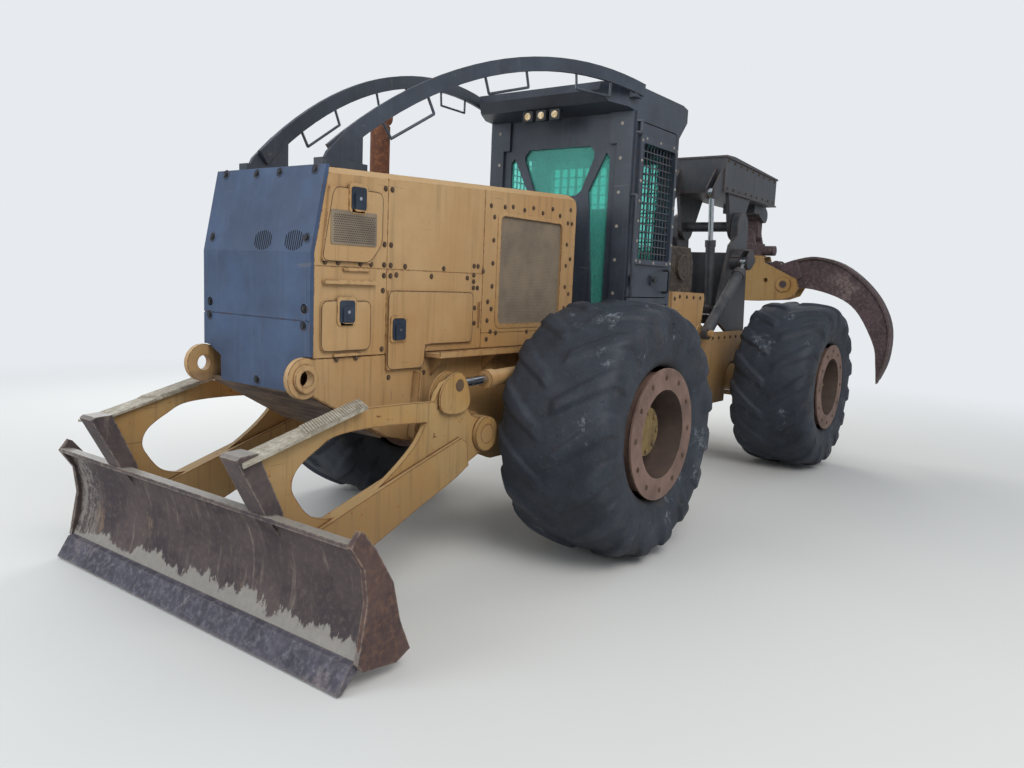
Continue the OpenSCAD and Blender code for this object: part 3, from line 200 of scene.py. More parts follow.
# %% Yellow enamel
def enamel(name, fresh, faded, wear, dirt, bare=None):
    f = Finish(name, Specular_IOR_Level=0.45)
    height = f.at("Z")
    up = f.faces("Z").between(0.2, 0.9)
    cloud = f.noise(1.3, 5, 0.6)
    fade = (cloud + up * 0.25).between(0.35, 0.75)
    colour = f.blend(fade, fresh, faded)
    mottle = f.noise(9, 6, 0.7)
    colour = colour.under(mottle.between(0.35, 0.8, 0.0, 0.35), tuple(c * 0.72 for c in rgb(faded)))
    # grime drawn down the flat sides by rain
    streaks = f.noise(26, 3, 0.6, stretch=(1, 1, 0.035))
    side = 1 - f.faces("Z").size()
    grime = streaks.between(0.5, 0.78) * side * (0.25 + 0.35 * dirt)
    colour = colour.under(grime, "#5f4a30")
    # dust and mud, thicker towards the ground
    mud = (height + 0.5 * f.noise(3.1, 5, 0.65)).between(1.55, 0.35) * dirt
    colour = colour.under(mud * 0.75, "#6a573f")
    # darker brown deep in corners, from ambient occlusion broken up by noise: painted shade, with some dirt
    deep = f.corners(0.12).between(0.35, 0.95) * f.noise(7, 4).between(0.3, 0.6)
    colour = colour.under(deep * (0.3 + 0.5 * dirt), "#463525")
    # scratches in two directions, then chips along the edges
    scratch_a = f.noise(34, 2, 0.5, stretch=(0.05, 1, 1.7), shift=(3, 1, 7))
    scratch_b = f.noise(30, 2, 0.5, stretch=(0.5, 0.5, 0.07), shift=(11, 5, 2), warp=0.6)
    scratched = scratch_a.between(0.735 - 0.05 * wear, 0.76 - 0.05 * wear).most(
        scratch_b.between(0.76 - 0.07 * wear, 0.785 - 0.07 * wear))
    colour = colour.under(scratched * 0.55, "#6a543a")
    field = f.noise(19, 8, 0.72, shift=(2, 9, 4)) + f.edges(0.014) * (0.16 + 0.22 * wear)
    chips = field.between(0.70 - 0.10 * wear, 0.73 - 0.10 * wear)
    halo = field.between(0.64 - 0.10 * wear, 0.72 - 0.10 * wear)
    colour = colour.under(halo * 0.5, "#a06a2c")
    rust = f.noise(60, 5, 0.7).mix(0.35, 0.7, "#3a241a", "#7a4526")
    colour = colour.under(chips, rust)
    rough = (0.42 + 0.2 * fade + 0.25 * mud + 0.1 * mottle).most(chips * 0.85)
    if bare is not None:
        steel, share = bare(f, height)
        colour, rough = colour.under(share, steel), rough.most(share * 0.75)
    relief = f.noise(70, 4, 0.6) * 0.25 + (1 - chips) * 0.6 - scratched * 0.3
    return f.done(colour, rough, relief, 0.25, 0.0016)


def bare_pan(f, height):
    """The pan under the nose, behind the tow lugs, is scraped to brown steel."""
    forward = f.at("X").between(AXLE + 1.50, AXLE + 1.53)
    inside = f.at("Y").size().between(0.445, 0.435)
    steel = f.noise(9, 7, 0.7, stretch=(1, 0.3, 1)).mix(0.35, 0.68, "#3b2c27", "#7a6552")
    return steel, forward * inside * height.between(1.26, 1.22)


SAND, OCHRE = "#b29369", "#a88152"
yellow_hood = enamel("faded_yellow_enamel", OCHRE, SAND, wear=0.10, dirt=0.35)
yellow_frame = enamel("muddy_yellow_enamel", OCHRE, SAND, wear=0.35, dirt=0.8, bare=bare_pan)
yellow_arms = enamel("scraped_yellow_enamel", "#a88049", "#ae9163", wear=0.6, dirt=0.8)

# %% [markdown]
# ## Satin black
# The cab, its guards and the boom are satin black. Dust settles on what faces up and turns it grey-brown, and
# rubbed edges show a dull brown steel. Black that is written too dark loses its form, so it is a dark blue grey.

# %% Satin black enamel
def black_enamel(name, base, dust, wear, haze):
    f = Finish(name, Specular_IOR_Level=0.5)
    up = f.faces("Z").between(0.1, 0.95)
    cloud = f.noise(2.2, 6, 0.65)
    colour = cloud.mix(0.35, 0.7, base, tuple(c * 1.7 for c in rgb(base)))
    speck = f.noise(55, 3, 0.7).between(0.6, 0.75)
    settled = (up * 0.75 + 0.22) * f.noise(5, 6, 0.7).between(0.32, 0.72) * dust
    streaks = f.noise(30, 3, 0.6, stretch=(1, 1, 0.04))
    runs = streaks.between(0.52, 0.8) * (1 - f.faces("Z").size()) * dust * 0.35
    colour = colour.under((settled + speck * 0.12 * dust + runs).least(0.85), haze)
    edge = f.edges(0.012)
    field = f.noise(23, 8, 0.72, shift=(5, 2, 8))
    worn = (field + edge * (0.12 + 0.25 * wear)).between(0.72 - 0.1 * wear, 0.75 - 0.1 * wear)
    rust = f.noise(50, 5, 0.7).mix(0.35, 0.7, "#3d2a22", "#76503a")
    scratch = f.noise(36, 2, 0.5, stretch=(0.5, 0.06, 0.6), shift=(1, 4, 6), warp=0.4).between(0.72, 0.745)
    colour = colour.under(scratch * (0.25 + 0.3 * wear), "#6f6a64")
    colour = colour.under(worn, rust)
    rough = 0.38 + 0.35 * settled + 0.1 * cloud + 0.3 * worn
    relief = f.noise(80, 4, 0.6) * 0.3 - worn * 0.5
    return f.done(colour, rough, relief, 0.22, 0.0014)


black_cab = black_enamel("satin_black_cab", "#272d37", dust=0.4, wear=0.15, haze="#6b7079")
black_guard = black_enamel("slate_black_guard", "#2b3b54", dust=0.5, wear=0.2, haze="#62728a")
black_boom = black_enamel("worn_black_boom", "#24272d", dust=0.7, wear=0.6, haze="#6f6a66")

# %% [markdown]
# ## Rust
# Bare working steel is never one brown: fresh rust is orange, old rust is nearly purple, and rubbed faces are
# polished dark. The blade also has a pale scoured band where soil slides over it.

# %% Rusty steel
def rusty(name, dark, mid, light, rubbed):
    f = Finish(name, Specular_IOR_Level=0.4)
    broad, fine = f.noise(3.4, 7, 0.68, warp=0.3), f.noise(28, 8, 0.72)
    colour = broad.mix(0.3, 0.7, dark, mid)
    colour = colour.under(fine.between(0.42, 0.75), light)
    runs = f.noise(24, 4, 0.6, stretch=(1, 1, 0.06), shift=(4, 4, 0))
    colour = colour.under(runs.between(0.5, 0.8, 0, 0.5), tuple(c * 0.5 for c in rgb(dark)))
    rough = 0.62 + 0.25 * fine
    scraped = f.noise(1.7, 8, 0.72, shift=(2, 6, 4)).between(0.57, 0.63) * fine.between(0.3, 0.6)
    colour = colour.under(scraped * rubbed * 0.7, "#8f8079")
    edge = f.edges(0.02)
    polish = (edge + fine * 0.5).between(0.55, 0.95) * rubbed
    colour = colour.under(polish, "#8b7f74")
    rough = rough - polish * 0.3
    relief = fine * 0.8 + broad * 0.5
    return f.done(colour, rough, relief, 0.4, 0.003, Metallic=polish * 0.6)


def scoured_blade():
    """Soil slides up the blade: it leaves upright streaks, and bare steel along the foot and the flange."""
    f = Finish("scoured_blade_steel", Specular_IOR_Level=0.4)
    height, ahead = f.at("Z"), f.faces("X")
    broad, fine = f.noise(2.6, 7, 0.66), f.noise(30, 7, 0.7)
    colour = broad.mix(0.32, 0.68, "#372f33", "#544847")
    colour = colour.under(fine.between(0.45, 0.8) * 0.6, "#75645a")
    streak = f.noise(22, 5, 0.65, stretch=(0.4, 1, 0.09), shift=(4, 2, 1))
    colour = colour.under(streak.between(0.55, 0.72) * broad.between(0.35, 0.6) * 0.6, "#8f8174")
    patch = f.noise(5, 8, 0.75, stretch=(1, 1, 0.5), shift=(9, 5, 2)).between(0.60, 0.68)
    colour = colour.under(patch * 0.35, "#9a7f63")
    ragged = height - 0.12 * f.noise(3.6, 8, 0.74, stretch=(1, 1, 0.4), shift=(2, 3, 3)).between(0.40, 0.72) \
        - 0.05 * (streak - 0.5)
    foot = ragged.between(0.165, 0.150) * ahead.between(0.1, 0.3)
    top = f.faces("Z").between(0.7, 0.9) * height.between(0.55, 0.60) * fine.between(0.2, 0.42)
    # its right-hand end, which meets the bank, is scoured up to the flange
    end = f.at("Y").between(-1.02, -1.20) * (streak * 0.5 + fine * 0.5).between(0.42, 0.56) * 0.7
    bare = foot.most(top).most(end * ahead.between(0.1, 0.3))
    colour = colour.under(bare * 0.9, f.blend(fine, "#77736f", "#a39d93"))
    ends = f.at("Y").size().between(1.3095, 1.3105)
    end_rust = broad.mix(0.35, 0.65, "#392c2c", "#513f3c")
    colour = colour.under(ends * (1 - bare * 0.5), fine.mix(0.4, 0.8, end_rust, "#6f5243"))
    edge = f.edges(0.016)
    colour = colour.under(edge * fine.between(0.35, 0.6) * 0.6, "#a39787")
    rough = 0.66 + 0.2 * fine - 0.22 * bare - 0.1 * edge
    return f.done(colour, rough, fine * 0.7 + streak * 0.4 + broad * 0.4, 0.35, 0.003)


rust_blade = scoured_blade()
rust_tongs = rusty("grapple_rust", "#3d3234", "#55454a", "#6f5a58", 0.7)
rust_plain = rusty("exhaust_rust", "#4a2c20", "#6d4028", "#8a5836", 0.2)
rust_winch = rusty("winch_rust", "#2b2826", "#423a35", "#6a5b4c", 0.5)
rust_edge = rusty("cutting_edge_steel", "#38363f", "#4c4954", "#737078", 0.4)


def wheel_paint():
    """A flat ring of even red-brown round a deep well, whose disc still shows old yellow under dried mud, and whose
    wall is painted near black as painted shade.
    """
    f = Finish("wheel_ring_brown", Specular_IOR_Level=0.4)
    mid = AXLE - WHEELBASE / 2
    x = (f.at("X") - mid).size() - WHEELBASE / 2
    z = f.at("Z") - TYRE_R
    radius = (x * x + z * z) ** 0.5
    cloud, fine = f.noise(5, 6, 0.65), f.noise(38, 7, 0.7)
    ring = cloud.mix(0.3, 0.7, "#5f4a42", "#7c6358")
    ring = ring.under(fine.between(0.55, 0.8) * 0.6, "#4d362d")
    ring = ring.under(f.noise(11, 8, 0.75, shift=(3, 1, 6)).between(0.66, 0.70) * 0.55, "#a87c4a")
    disc = cloud.mix(0.35, 0.65, "#5d4c35", "#8a7446")
    disc = disc.under(fine.between(0.5, 0.8) * 0.7, "#3f3027")
    # the wall of the well round the disc is painted near black: painted shade
    across = f.faces("Y").size().between(0.5, 0.3) * radius.between(0.25, 0.27) * radius.between(0.32, 0.31)
    colour = disc.under(radius.between(0.285, 0.297), ring)
    colour = colour.under(across * 0.75, f.blend(cloud, "#2e2a2b", "#4d4036"))
    low = z.between(0.05, -0.28) * radius.between(0.297, 0.285)
    colour = colour.under(low * 0.6, "#4a3d2e")
    edge = f.edges(0.010)
    colour = colour.under(edge * fine.between(0.4, 0.6) * 0.5, "#a08a7d")
    return f.done(colour, 0.6 + 0.25 * fine, fine * 0.8 + cloud * 0.4, 0.35, 0.002)


rust_rim = wheel_paint()

# %% [markdown]
# ## Rubber
# Worn forestry tyres are a dull blue black. Dried mud stays between the lugs, and the lug faces are rubbed darker
# and smoother, so the mask that tells the two apart is the distance from the axle.

# %% Tyre rubber
def rubber(name, axle_x):
    f = Finish(name, Specular_IOR_Level=0.35)
    x, z = f.at("X") - axle_x, f.at("Z") - TYRE_R
    radius = (x * x + z * z) ** 0.5
    tread = radius.between(0.79, 0.85)
    cloud, fine = f.noise(4, 6, 0.65), f.noise(45, 7, 0.7)
    colour = cloud.mix(0.3, 0.7, "#20242c", "#2f353f")
    mud = (f.noise(6, 7, 0.7, shift=(1, 1, 1)) + f.corners(0.10) * 0.5 - tread * 0.12).between(0.5, 0.8)
    colour = colour.under(mud * 0.35, "#62594f")
    dust = fine.between(0.5, 0.8) * 0.3
    colour = colour.under(dust, "#545a63")
    scuff = f.noise(3.2, 9, 0.8, shift=(7, 2, 5)).between(0.56, 0.66)
    scuff = scuff * f.noise(33, 6, 0.75).between(0.42, 0.62)
    colour = colour.under(scuff * 0.65, "#8b929b")
    cracks = f.cells(34, "DISTANCE_TO_EDGE").between(0.0, 0.05, 1.0, 0.0) * (1 - tread) * 0.5
    colour = colour.under(cracks * 0.5, "#141414")
    cuts = f.noise(30, 2, 0.5, stretch=(0.2, 1, 0.9), warp=0.8).between(0.70, 0.73)
    colour = colour.under(cuts * 0.7, "#15161a")
    relief = fine * 0.7 - cracks - cuts * 1.2 + cloud * 0.6
    return f.done(colour, 0.62 + 0.25 * mud - 0.12 * tread * cloud, relief, 0.45, 0.003)


rubber_front = rubber("front_tyre_rubber", AXLE)
rubber_rear = rubber("rear_tyre_rubber", AXLE - WHEELBASE)

# %% [markdown]
# ## The small finishes
# Chromed rods carry an oily film. The windows are a thick green-blue safety glass, drawn partly diffuse in a bright
# teal that stands for sunlight shining through from behind: painted light. Lamps have clear lenses over bright bowls,
# drawn as one pale cream face that is a painted reflection. The side screens of the hood are a fine mesh full of
# dust, drawn here as relief and colour, because its holes are finer than a pixel, and the holes' darkness is painted
# shade.

# %% Chrome, glass, lamps, mesh and trim
def chrome_film():
    f = Finish("oily_chrome", Metallic=1.0)
    film = f.noise(14, 5, 0.6).between(0.4, 0.75)
    return f.done(f.blend(film * 0.5, "#c9ccd0", "#7d7365"), 0.12 + 0.3 * film)


def safety_glass():
    f = Finish("glass_with_painted_backlight", Transmission_Weight=0.76, IOR=1.45)
    # a quarter of the glass is diffuse, in a bright teal that stands for sunlight shining through from behind:
    # painted light
    dust = f.noise(5, 7, 0.7).between(0.45, 0.85)
    return f.done(f.blend(dust * 0.3, "#86f2e2", "#74b3a6"), 0.03 + 0.10 * dust)


def dusty_mesh():
    f = Finish("dusty_screen", Specular_IOR_Level=0.3)
    wires = f.node("ShaderNodeTexVoronoi", {"feature": "F1", "distance": "CHEBYCHEV"},
                   {"Vector": f.stretched((1, 0.05, 1)), "Scale": 95, "Randomness": 0.0}, "Distance")
    hole = wires.between(0.36, 0.26)
    cloud = f.noise(4, 6, 0.7)
    colour = cloud.mix(0.3, 0.72, "#887a67", "#706457")
    # the holes are painted darker, as the shade in the space behind the mesh: painted shade
    colour = colour.under(hole * 0.3, "#3a3027")
    return f.done(colour, 0.85, 1 - hole, 0.6, 0.002)


def trim(name, code, rough=0.75, grain=0.25):
    f = Finish(name, Specular_IOR_Level=0.35)
    cloud = f.noise(7, 5, 0.65)
    colour = cloud.mix(0.35, 0.75, code, tuple(min(1, c * 1.6 + 0.01) for c in rgb(code)))
    return f.done(colour, rough, f.noise(160, 3, 0.6), grain, 0.001)


def lamp_lens():
    f = Finish("lamp_lens", Coat_Weight=0.6)
    ribs = f.cells(60)
    # the pale cream face with darker ribs stands for the bright reflection in the lamp's bowl: painted reflection
    return f.done(ribs.mix(0.1, 0.6, "#f7ead0", "#c7ab7c"), 0.18, ribs, 0.3, 0.002)


chrome, glass, screen_mesh = chrome_film(), safety_glass(), dusty_mesh()
cab_trim = trim("cab_trim_plastic", "#34353a")
engine_paint = trim("oily_engine", "#4c3c22", 0.55, 0.5)
lens = lamp_lens()
tread_steel = rusty("worn_tread_steel", "#7d7565", "#a39c8c", "#c2bcae", 0.3)
zinc = trim("zinc_bolts", "#8b857b", 0.45, 0.3)

# %% Paint the CAD nodes
PAINT = {
    yellow_hood: "hood door_*",
    yellow_frame: "front_frame rear_frame *_axle steps steering_barrel_* blade_cylinder_barrels blade_mounts",
    yellow_arms: "blade_arms grapple_head", black_guard: "front_guard",
    black_cab: "cab_shell cab_roof cab_screens cab_door_* limb_risers",
    black_boom: "arch boom arch_cylinder_barrels boom_cylinder_barrels tong_cylinder_barrel",
    rust_blade: "blade", rust_edge: "cutting_edge", rust_plain: "exhaust", rust_winch: "winch winch_drum",
    rust_tongs: "tong_left tong_right crosshead swing_yoke", chrome: "*_cylinder_rod* steering_rod_*",
    screen_mesh: "hood_screens", glass: "cab_glass", cab_trim: "cab_interior", lens: "lamps",
    engine_paint: "engine", rust_rim: "rim_*", rubber_front: "tyre_front_*", rubber_rear: "tyre_rear_*",
}
painted = [(name, material) for material, patterns in PAINT.items() for pattern in patterns.split()
           for name in matching(nodes, pattern)]
for name, material in painted:
    nodes[name].data.materials.clear()
    nodes[name].data.materials.append(material)
print("painted", len(painted), "nodes; unpainted:", sorted(set(nodes) - {name for name, _ in painted}))

# %% [markdown]
# ## Tools for small pieces
# Every added piece is a plain mesh whose place is in its vertices, and it rides on one CAD body. `Shape` collects
# plates, bars and rounds in bmesh, and its x counts from the front axle.

# %% A shape under construction
def place_piece(name, mesh, material, body, smooth=None):
    mesh.materials.clear()
    mesh.materials.append(material)
    piece = bpy.data.objects.new(name, mesh)
    bpy.context.scene.collection.objects.link(piece)
    if smooth is not None:
        mesh.shade_smooth()
        mesh.set_sharp_from_angle(angle=math.radians(smooth))
    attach(piece, body)
    return piece


def rounded(x0, z0, x1, z1, r=0.02, n=4):
    """The outline of a rectangle with round corners."""
    out = []
    for cx, cz, a0 in ((x1 - r, z1 - r, 0), (x0 + r, z1 - r, 90), (x0 + r, z0 + r, 180), (x1 - r, z0 + r, 270)):
        out += [(cx + r * math.cos(math.radians(a0 + 90 * k / n)), cz + r * math.sin(math.radians(a0 + 90 * k / n)))
                for k in range(n + 1)]
    return out


def bend(a, b, c, most):
    """Points that round off the corner b between a and c."""
    r = min((b - a).length, (c - b).length, most) * 0.45
    start, end = b + (a - b).normalized() * r, b + (c - b).normalized() * r
    return [start.lerp(b, t).lerp(b.lerp(end, t), t) for t in (0, 0.25, 0.5, 0.75, 1)]


class Shape:
    def __init__(self):
        self.bm = bmesh.new()

    def face(self, points):
        return self.bm.faces.new([self.bm.verts.new(p) for p in points])

    def box(self, low, high, bevel):
        made = bmesh.ops.create_cube(self.bm, size=1.0)["verts"]
        for v in made:
            v.co = Vector([(low[i] + high[i]) / 2 + v.co[i] * (high[i] - low[i]) for i in range(3)])
        edges = {e for v in made for e in v.link_edges}
        bmesh.ops.bevel(self.bm, geom=list(edges), offset=bevel, segments=2, affect="EDGES")
        return self

    def round(self, start, end, radius, radius_end=None, sides=20):
        a, b = Vector(start), Vector(end)
        turn = (b - a).to_track_quat("Z", "Y").to_matrix().to_4x4()
        bmesh.ops.create_cone(self.bm, cap_ends=True, segments=sides, radius1=radius,
                              radius2=radius if radius_end is None else radius_end, depth=(b - a).length,
                              matrix=Matrix.Translation((a + b) / 2) @ turn)
        return self

    def loft(self, rings, capped=True):
        """Quads from ring to ring, and a face over each end."""
        rings = [[self.bm.verts.new(p) for p in ring] for ring in rings]
        faces = [self.bm.faces.new(ring) for ring in (rings[0], rings[-1])] if capped else []
        for a, b in zip(rings, rings[1:]):
            faces += [self.bm.faces.new([a[i - 1], a[i], b[i], b[i - 1]]) for i in range(len(a))]
        bmesh.ops.recalc_face_normals(self.bm, faces=faces)
        return self

    def plate(self, outline, y0, y1):
        """A plate with that outline in x and z, between y0 and y1."""
        return self.loft([[(x, y, z) for x, z in outline] for y in (y0, y1)])

    def upright(self, outline, x0, x1):
        """A plate with that outline in y and z, between x0 and x1."""
        return self.loft([[(x, y, z) for y, z in outline] for x in (x0, x1)])

    def tube(self, points, radius, sides=10):
        """A bent pipe through the points, its bends rounded off."""
        p = [Vector(q) for q in points]
        path = [p[0]]
        for a, b, c in zip(p, p[1:], p[2:]):
            path += bend(a, b, c, 6 * radius)
        path.append(p[-1])
        rings, side = [], None
        for i, q in enumerate(path):
            along = (path[min(i + 1, len(path) - 1)] - path[max(i - 1, 0)]).normalized()
            if side is None:
                side = along.orthogonal().normalized()
            side = (side - along * side.dot(along)).normalized()
            other = along.cross(side)
            rings.append([q + radius * (side * math.cos(a) + other * math.sin(a))
                          for a in [2 * math.pi * k / sides for k in range(sides)]])
        return self.loft(rings)

    def done(self, name, material, body, smooth=40):
        mesh = bpy.data.meshes.new(name)
        self.bm.transform(Matrix.Translation((AXLE, 0, 0)))
        self.bm.to_mesh(mesh)
        self.bm.free()
        return place_piece(name, mesh, material, body, smooth)

# %% [markdown]
# ## Bolts by the hundred
# A machine like this is held together by bolts, and their dots tell its scale. A Geometry Nodes tree sets a washer
# and a six-sided head on every point it is given, turned to the point's own `facing`. Realize Instances makes them
# real, because an export drops instances, and the result is kept as one plain mesh for each body.

# %% The bolt tree
def node_group(name):
    """A new Geometry Nodes group, and what adds a node to it."""
    tree = bpy.data.node_groups.new(name, "GeometryNodeTree")
    tree.interface.new_socket("Points", in_out="INPUT", socket_type="NodeSocketGeometry")
    tree.interface.new_socket("Made", in_out="OUTPUT", socket_type="NodeSocketGeometry")

    def add(kind, sockets=None, settings=None, out=0):
        return add_node(tree, "GeometryNode" + kind, settings, sockets, out)
    return tree, add


def realised(tree, add, geometry, material):
    """Ends the group: instances made real, and painted."""
    paint = add("SetMaterial", {"Geometry": add("RealizeInstances", {0: geometry}), "Material": material})
    add_node(tree, "NodeGroupOutput", sockets={0: paint})
    return tree


def grown(name, tree, mesh):
    """The plain mesh that the group makes of this one."""
    seed = bpy.data.objects.new(name, mesh)
    bpy.context.scene.collection.objects.link(seed)
    seed.modifiers.new(name, "NODES").node_group = tree
    graph = bpy.context.evaluated_depsgraph_get()
    real = bpy.data.meshes.new_from_object(seed.evaluated_get(graph), depsgraph=graph)
    bpy.data.objects.remove(seed)
    return real


def bolt_tree(material, radius, height):
    tree, add = node_group("bolt_pattern")
    head = add("MeshCylinder", {"Vertices": 6, "Radius": radius, "Depth": height})
    washer = add("MeshCylinder", {"Vertices": 12, "Radius": 1.55 * radius, "Depth": 0.3 * height})
    raised = add("Transform", {"Geometry": head, "Translation": (0, 0, height / 2)})
    facing = add("InputNamedAttribute", {"Name": "facing"}, {"data_type": "FLOAT_VECTOR"}, "Attribute")
    turn = add_node(tree, "FunctionNodeAlignRotationToVector", {"axis": "Z"}, {"Vector": facing})
    points = add_node(tree, "NodeGroupInput")
    bolt = add("JoinGeometry", {0: [raised, washer]})
    everywhere = add("InstanceOnPoints", {"Points": points, "Instance": bolt, "Rotation": turn})
    return realised(tree, add, everywhere, material)


def bolts(name, body, points, material, radius, height):
    """points: (position, facing) pairs, x from the front axle. One mesh of bolts that rides on the body."""
    mesh = bpy.data.meshes.new(name + "_points")
    mesh.from_pydata([(AXLE + x, y, z) for (x, y, z), _ in points], [], [])
    facing = mesh.attributes.new("facing", "FLOAT_VECTOR", "POINT")
    facing.data.foreach_set("vector", [c for _, n in points for c in n])
    real = grown(name + "_points", bolt_tree(material, radius, height), mesh)
    print(name, len(points), "bolts,", len(real.polygons), "faces")
    return place_piece(name, real, material, body)


def row(a, b, count, facing):
    """Evenly spaced bolts from a to b."""
    a, b = Vector(a), Vector(b)
    return [(tuple(a.lerp(b, i / (count - 1))), facing) for i in range(count)]


def circle(centre, axis, radius, count, start=0.0):
    """A bolt circle, its heads facing along the axis."""
    axis = Vector(axis).normalized()
    side = axis.orthogonal().normalized()
    other = axis.cross(side)
    return [(tuple(Vector(centre) + radius * (side * math.cos(a) + other * math.sin(a))), tuple(axis))
            for a in [start + 2 * math.pi * i / count for i in range(count)]]

# %% [markdown]
# ## Worn forestry tyres
# The CAD tyre is plain and faceted. The real one is worn: its lugs are low, with soft edges, and they run from the
# shoulders towards the middle in a V that meets the ground point first. A surface that is followed round the wheel
# and across it, and pushed out where a lug lies, gives that softness, which a bevelled block never has.

# %% Roll out a tyre
LUGS = 16                   # on each side of the tread
PITCH = 2 * math.pi / LUGS
AROUND, ACROSS = 400, 78    # points round the wheel and across the tyre
# half the cross-section: y from the middle, r from the axle, from the bead to the middle of the tread
SECTION = [(-0.300, 0.447), (-0.345, 0.452), (-0.372, 0.500), (-0.391, 0.590), (-0.394, 0.680), (-0.384, 0.750),
           (-0.360, 0.798), (-0.300, 0.826), (-0.15, 0.846), (0.0, 0.851)]
DENTS = ((3, 1, 0.4), (7, 2, 1.9), (13, 3, 4.0))     # waves round the wheel and across it, and their phase


def soft(value, low, high):
    t = np.clip((value - low) / (high - low), 0, 1)
    return t * t * (3 - 2 * t)


def tyre_section():
    """Points across the tyre: how far along, y, r and which way is out."""
    half = np.array(SECTION)
    guide = np.vstack([half, (half[:-1] * [-1, 1])[::-1]])
    length = np.concatenate([[0], np.cumsum(np.linalg.norm(np.diff(guide, axis=0), axis=1))])
    fine, t = (np.linspace(0, length[-1], n) for n in (600, ACROSS))
    y, r = (np.interp(t, fine, np.convolve(np.pad(np.interp(fine, length, guide[:, i]), 12, mode="edge"),
                                           np.ones(25) / 25, "valid")) for i in (0, 1))
    tangent = np.gradient(np.stack([y, r], 1), axis=0)
    tangent /= np.linalg.norm(tangent, axis=1)[:, None]
    return np.abs(t - length[-1] / 2), y, r, -tangent[:, 1], tangent[:, 0]


def tyre(name, node, body, axle_x, side, material):
    from_middle, y, r, out_y, out_r = tyre_section()
    turn = np.linspace(0, 2 * math.pi, AROUND, endpoint=False)
    a, m = np.meshgrid(turn, from_middle, indexing="ij")
    left = np.meshgrid(turn, y + 1e-6, indexing="ij")[1] > 0
    # the V: a lug's middle line runs ahead towards the middle of the tread
    lead = 0.36 * np.clip(1 - m / 0.40, 0, 1) ** 0.85
    phase = (a - lead + left * PITCH / 2) / PITCH
    off = np.abs(phase - np.round(phase)) * PITCH * 0.86     # metres from the lug's middle line
    rng = np.random.default_rng(5 + len(name))
    worn = rng.uniform(0.75, 1.0, 2 * LUGS)[(np.round(phase).astype(int) % LUGS) + LUGS * left]
    width = 0.034 + 0.030 * soft(m, 0.05, 0.42)
    lug = (1 - soft(off, width, width + 0.026)) * soft(m, 0.015, 0.06) * (1 - soft(m, 0.50, 0.585))
    height = 0.026 * worn * lug * (1 - 0.25 * soft(m, 0.44, 0.56))
    # rings moulded into the sidewall, and the dents of a hard life
    rings = 0.004 * (np.exp(-((m - 0.66) / 0.008) ** 2) + np.exp(-((m - 0.74) / 0.010) ** 2))
    dents = sum(0.0025 * np.sin(k * a + p) * np.cos(q * m * 9 + p) for k, q, p in DENTS)
    push = height + rings + dents * soft(m, 0.1, 0.5) * (1 - soft(m, 0.62, 0.8))
    py = side * TYRE_Y + (y[None, :] + push * out_y[None, :])
    pr = np.minimum(r[None, :] + push * out_r[None, :], TYRE_R - 0.001)
    z = np.maximum(TYRE_R + pr * np.cos(a), 0.0005)
    verts = np.stack([axle_x + pr * np.sin(a), py, z], -1).reshape(-1, 3)
    quads = [(i * ACROSS + k, n * ACROSS + k, n * ACROSS + k + 1, i * ACROSS + k + 1)
             for i in range(AROUND) for n in [(i + 1) % AROUND] for k in range(ACROSS - 1)]
    mesh = bpy.data.meshes.new(name)
    mesh.from_pydata(verts.tolist(), [], quads)
    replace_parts(place_piece(name, mesh, material, body, smooth=80), node)
    print(name, "has", len(mesh.polygons) * 2, "triangles")


for (end, x), material in zip(ENDS, (rubber_front, rubber_rear)):
    for hand, side in HANDS:
        tyre(f"worn_tyre_{end}_{hand}", f"tyre_{end}_{hand}", f"{end}_{hand}_wheel", AXLE + x, side, material)

# %% [markdown]
# ## The hood's fittings
# Flush doors are opened by paddle latches: a dark recessed cup in a raised plate, with one bright paddle. Air goes
# in through fine screens held by a frame of bolts. Bolt rows follow every panel seam. Each latch and grille rides
# on its own door, so that it opens with it.

# %% Latches and grilles on the doors
FRONT_DOOR, LOWER_DOOR, SIDE_DOOR = "door_front_upper", "door_front_lower", "door_side"
SKIN_Y = 0.4963                                    # the outer face of a door's sheet
PADDLE_Y = abs(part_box("door_side_left")[1].y)      # the outer face of a latch's paddle
LATCHES = (("upper", FRONT_DOOR, 1.780, 2.254), ("lower", LOWER_DOOR, 1.850, 1.645),
           ("side", SIDE_DOOR, 1.450, 1.540))      # the x and z of each
GRILLE = (1.640, 2.000, 1.968, 2.182)              # x, z to x, z, as for every box here
HOLE_PITCH, HOLE_R = 0.0135, 0.0043
satin_black = trim("latch_black", "#1d1f23", 0.4, 0.1)
latch_slate = trim("latch_slate", "#222b38", 0.45, 0.1)
bright = chrome_film()
dark_bolt = trim("rusty_bolt_heads", "#4b3a2c", 0.7, 0.3)


def panel(shape, box, r, s, y0, y1, n=4):
    """A plate with round corners on that side of the machine."""
    return shape.plate(rounded(*box, r, n), s * y0, s * y1)


def wider(box, by):
    return (box[0] - by, box[1] - by, box[2] + by, box[3] + by)


def latch(name, body, x, z, s):
    plate = panel(Shape(), (x - 0.068, z - 0.078, x + 0.068, z + 0.078), 0.02, s, SKIN_Y - 0.004, SKIN_Y + 0.007)
    plate.done(name + "_plate", yellow_hood, body)
    cup = panel(Shape(), (x - 0.053, z - 0.064, x + 0.053, z + 0.058), 0.016, s, SKIN_Y + 0.004, SKIN_Y + 0.0125)
    panel(cup, (x - 0.036, z - 0.062, x + 0.036, z + 0.026), 0.012, s, SKIN_Y + 0.012, PADDLE_Y + 0.002)
    cup.done(name + "_cup", latch_slate, body)
    button = Shape().round((x, s * PADDLE_Y, z - 0.004), (x, s * (PADDLE_Y + 0.0045), z - 0.004), 0.0095)
    button.done(name + "_button", bright, body)


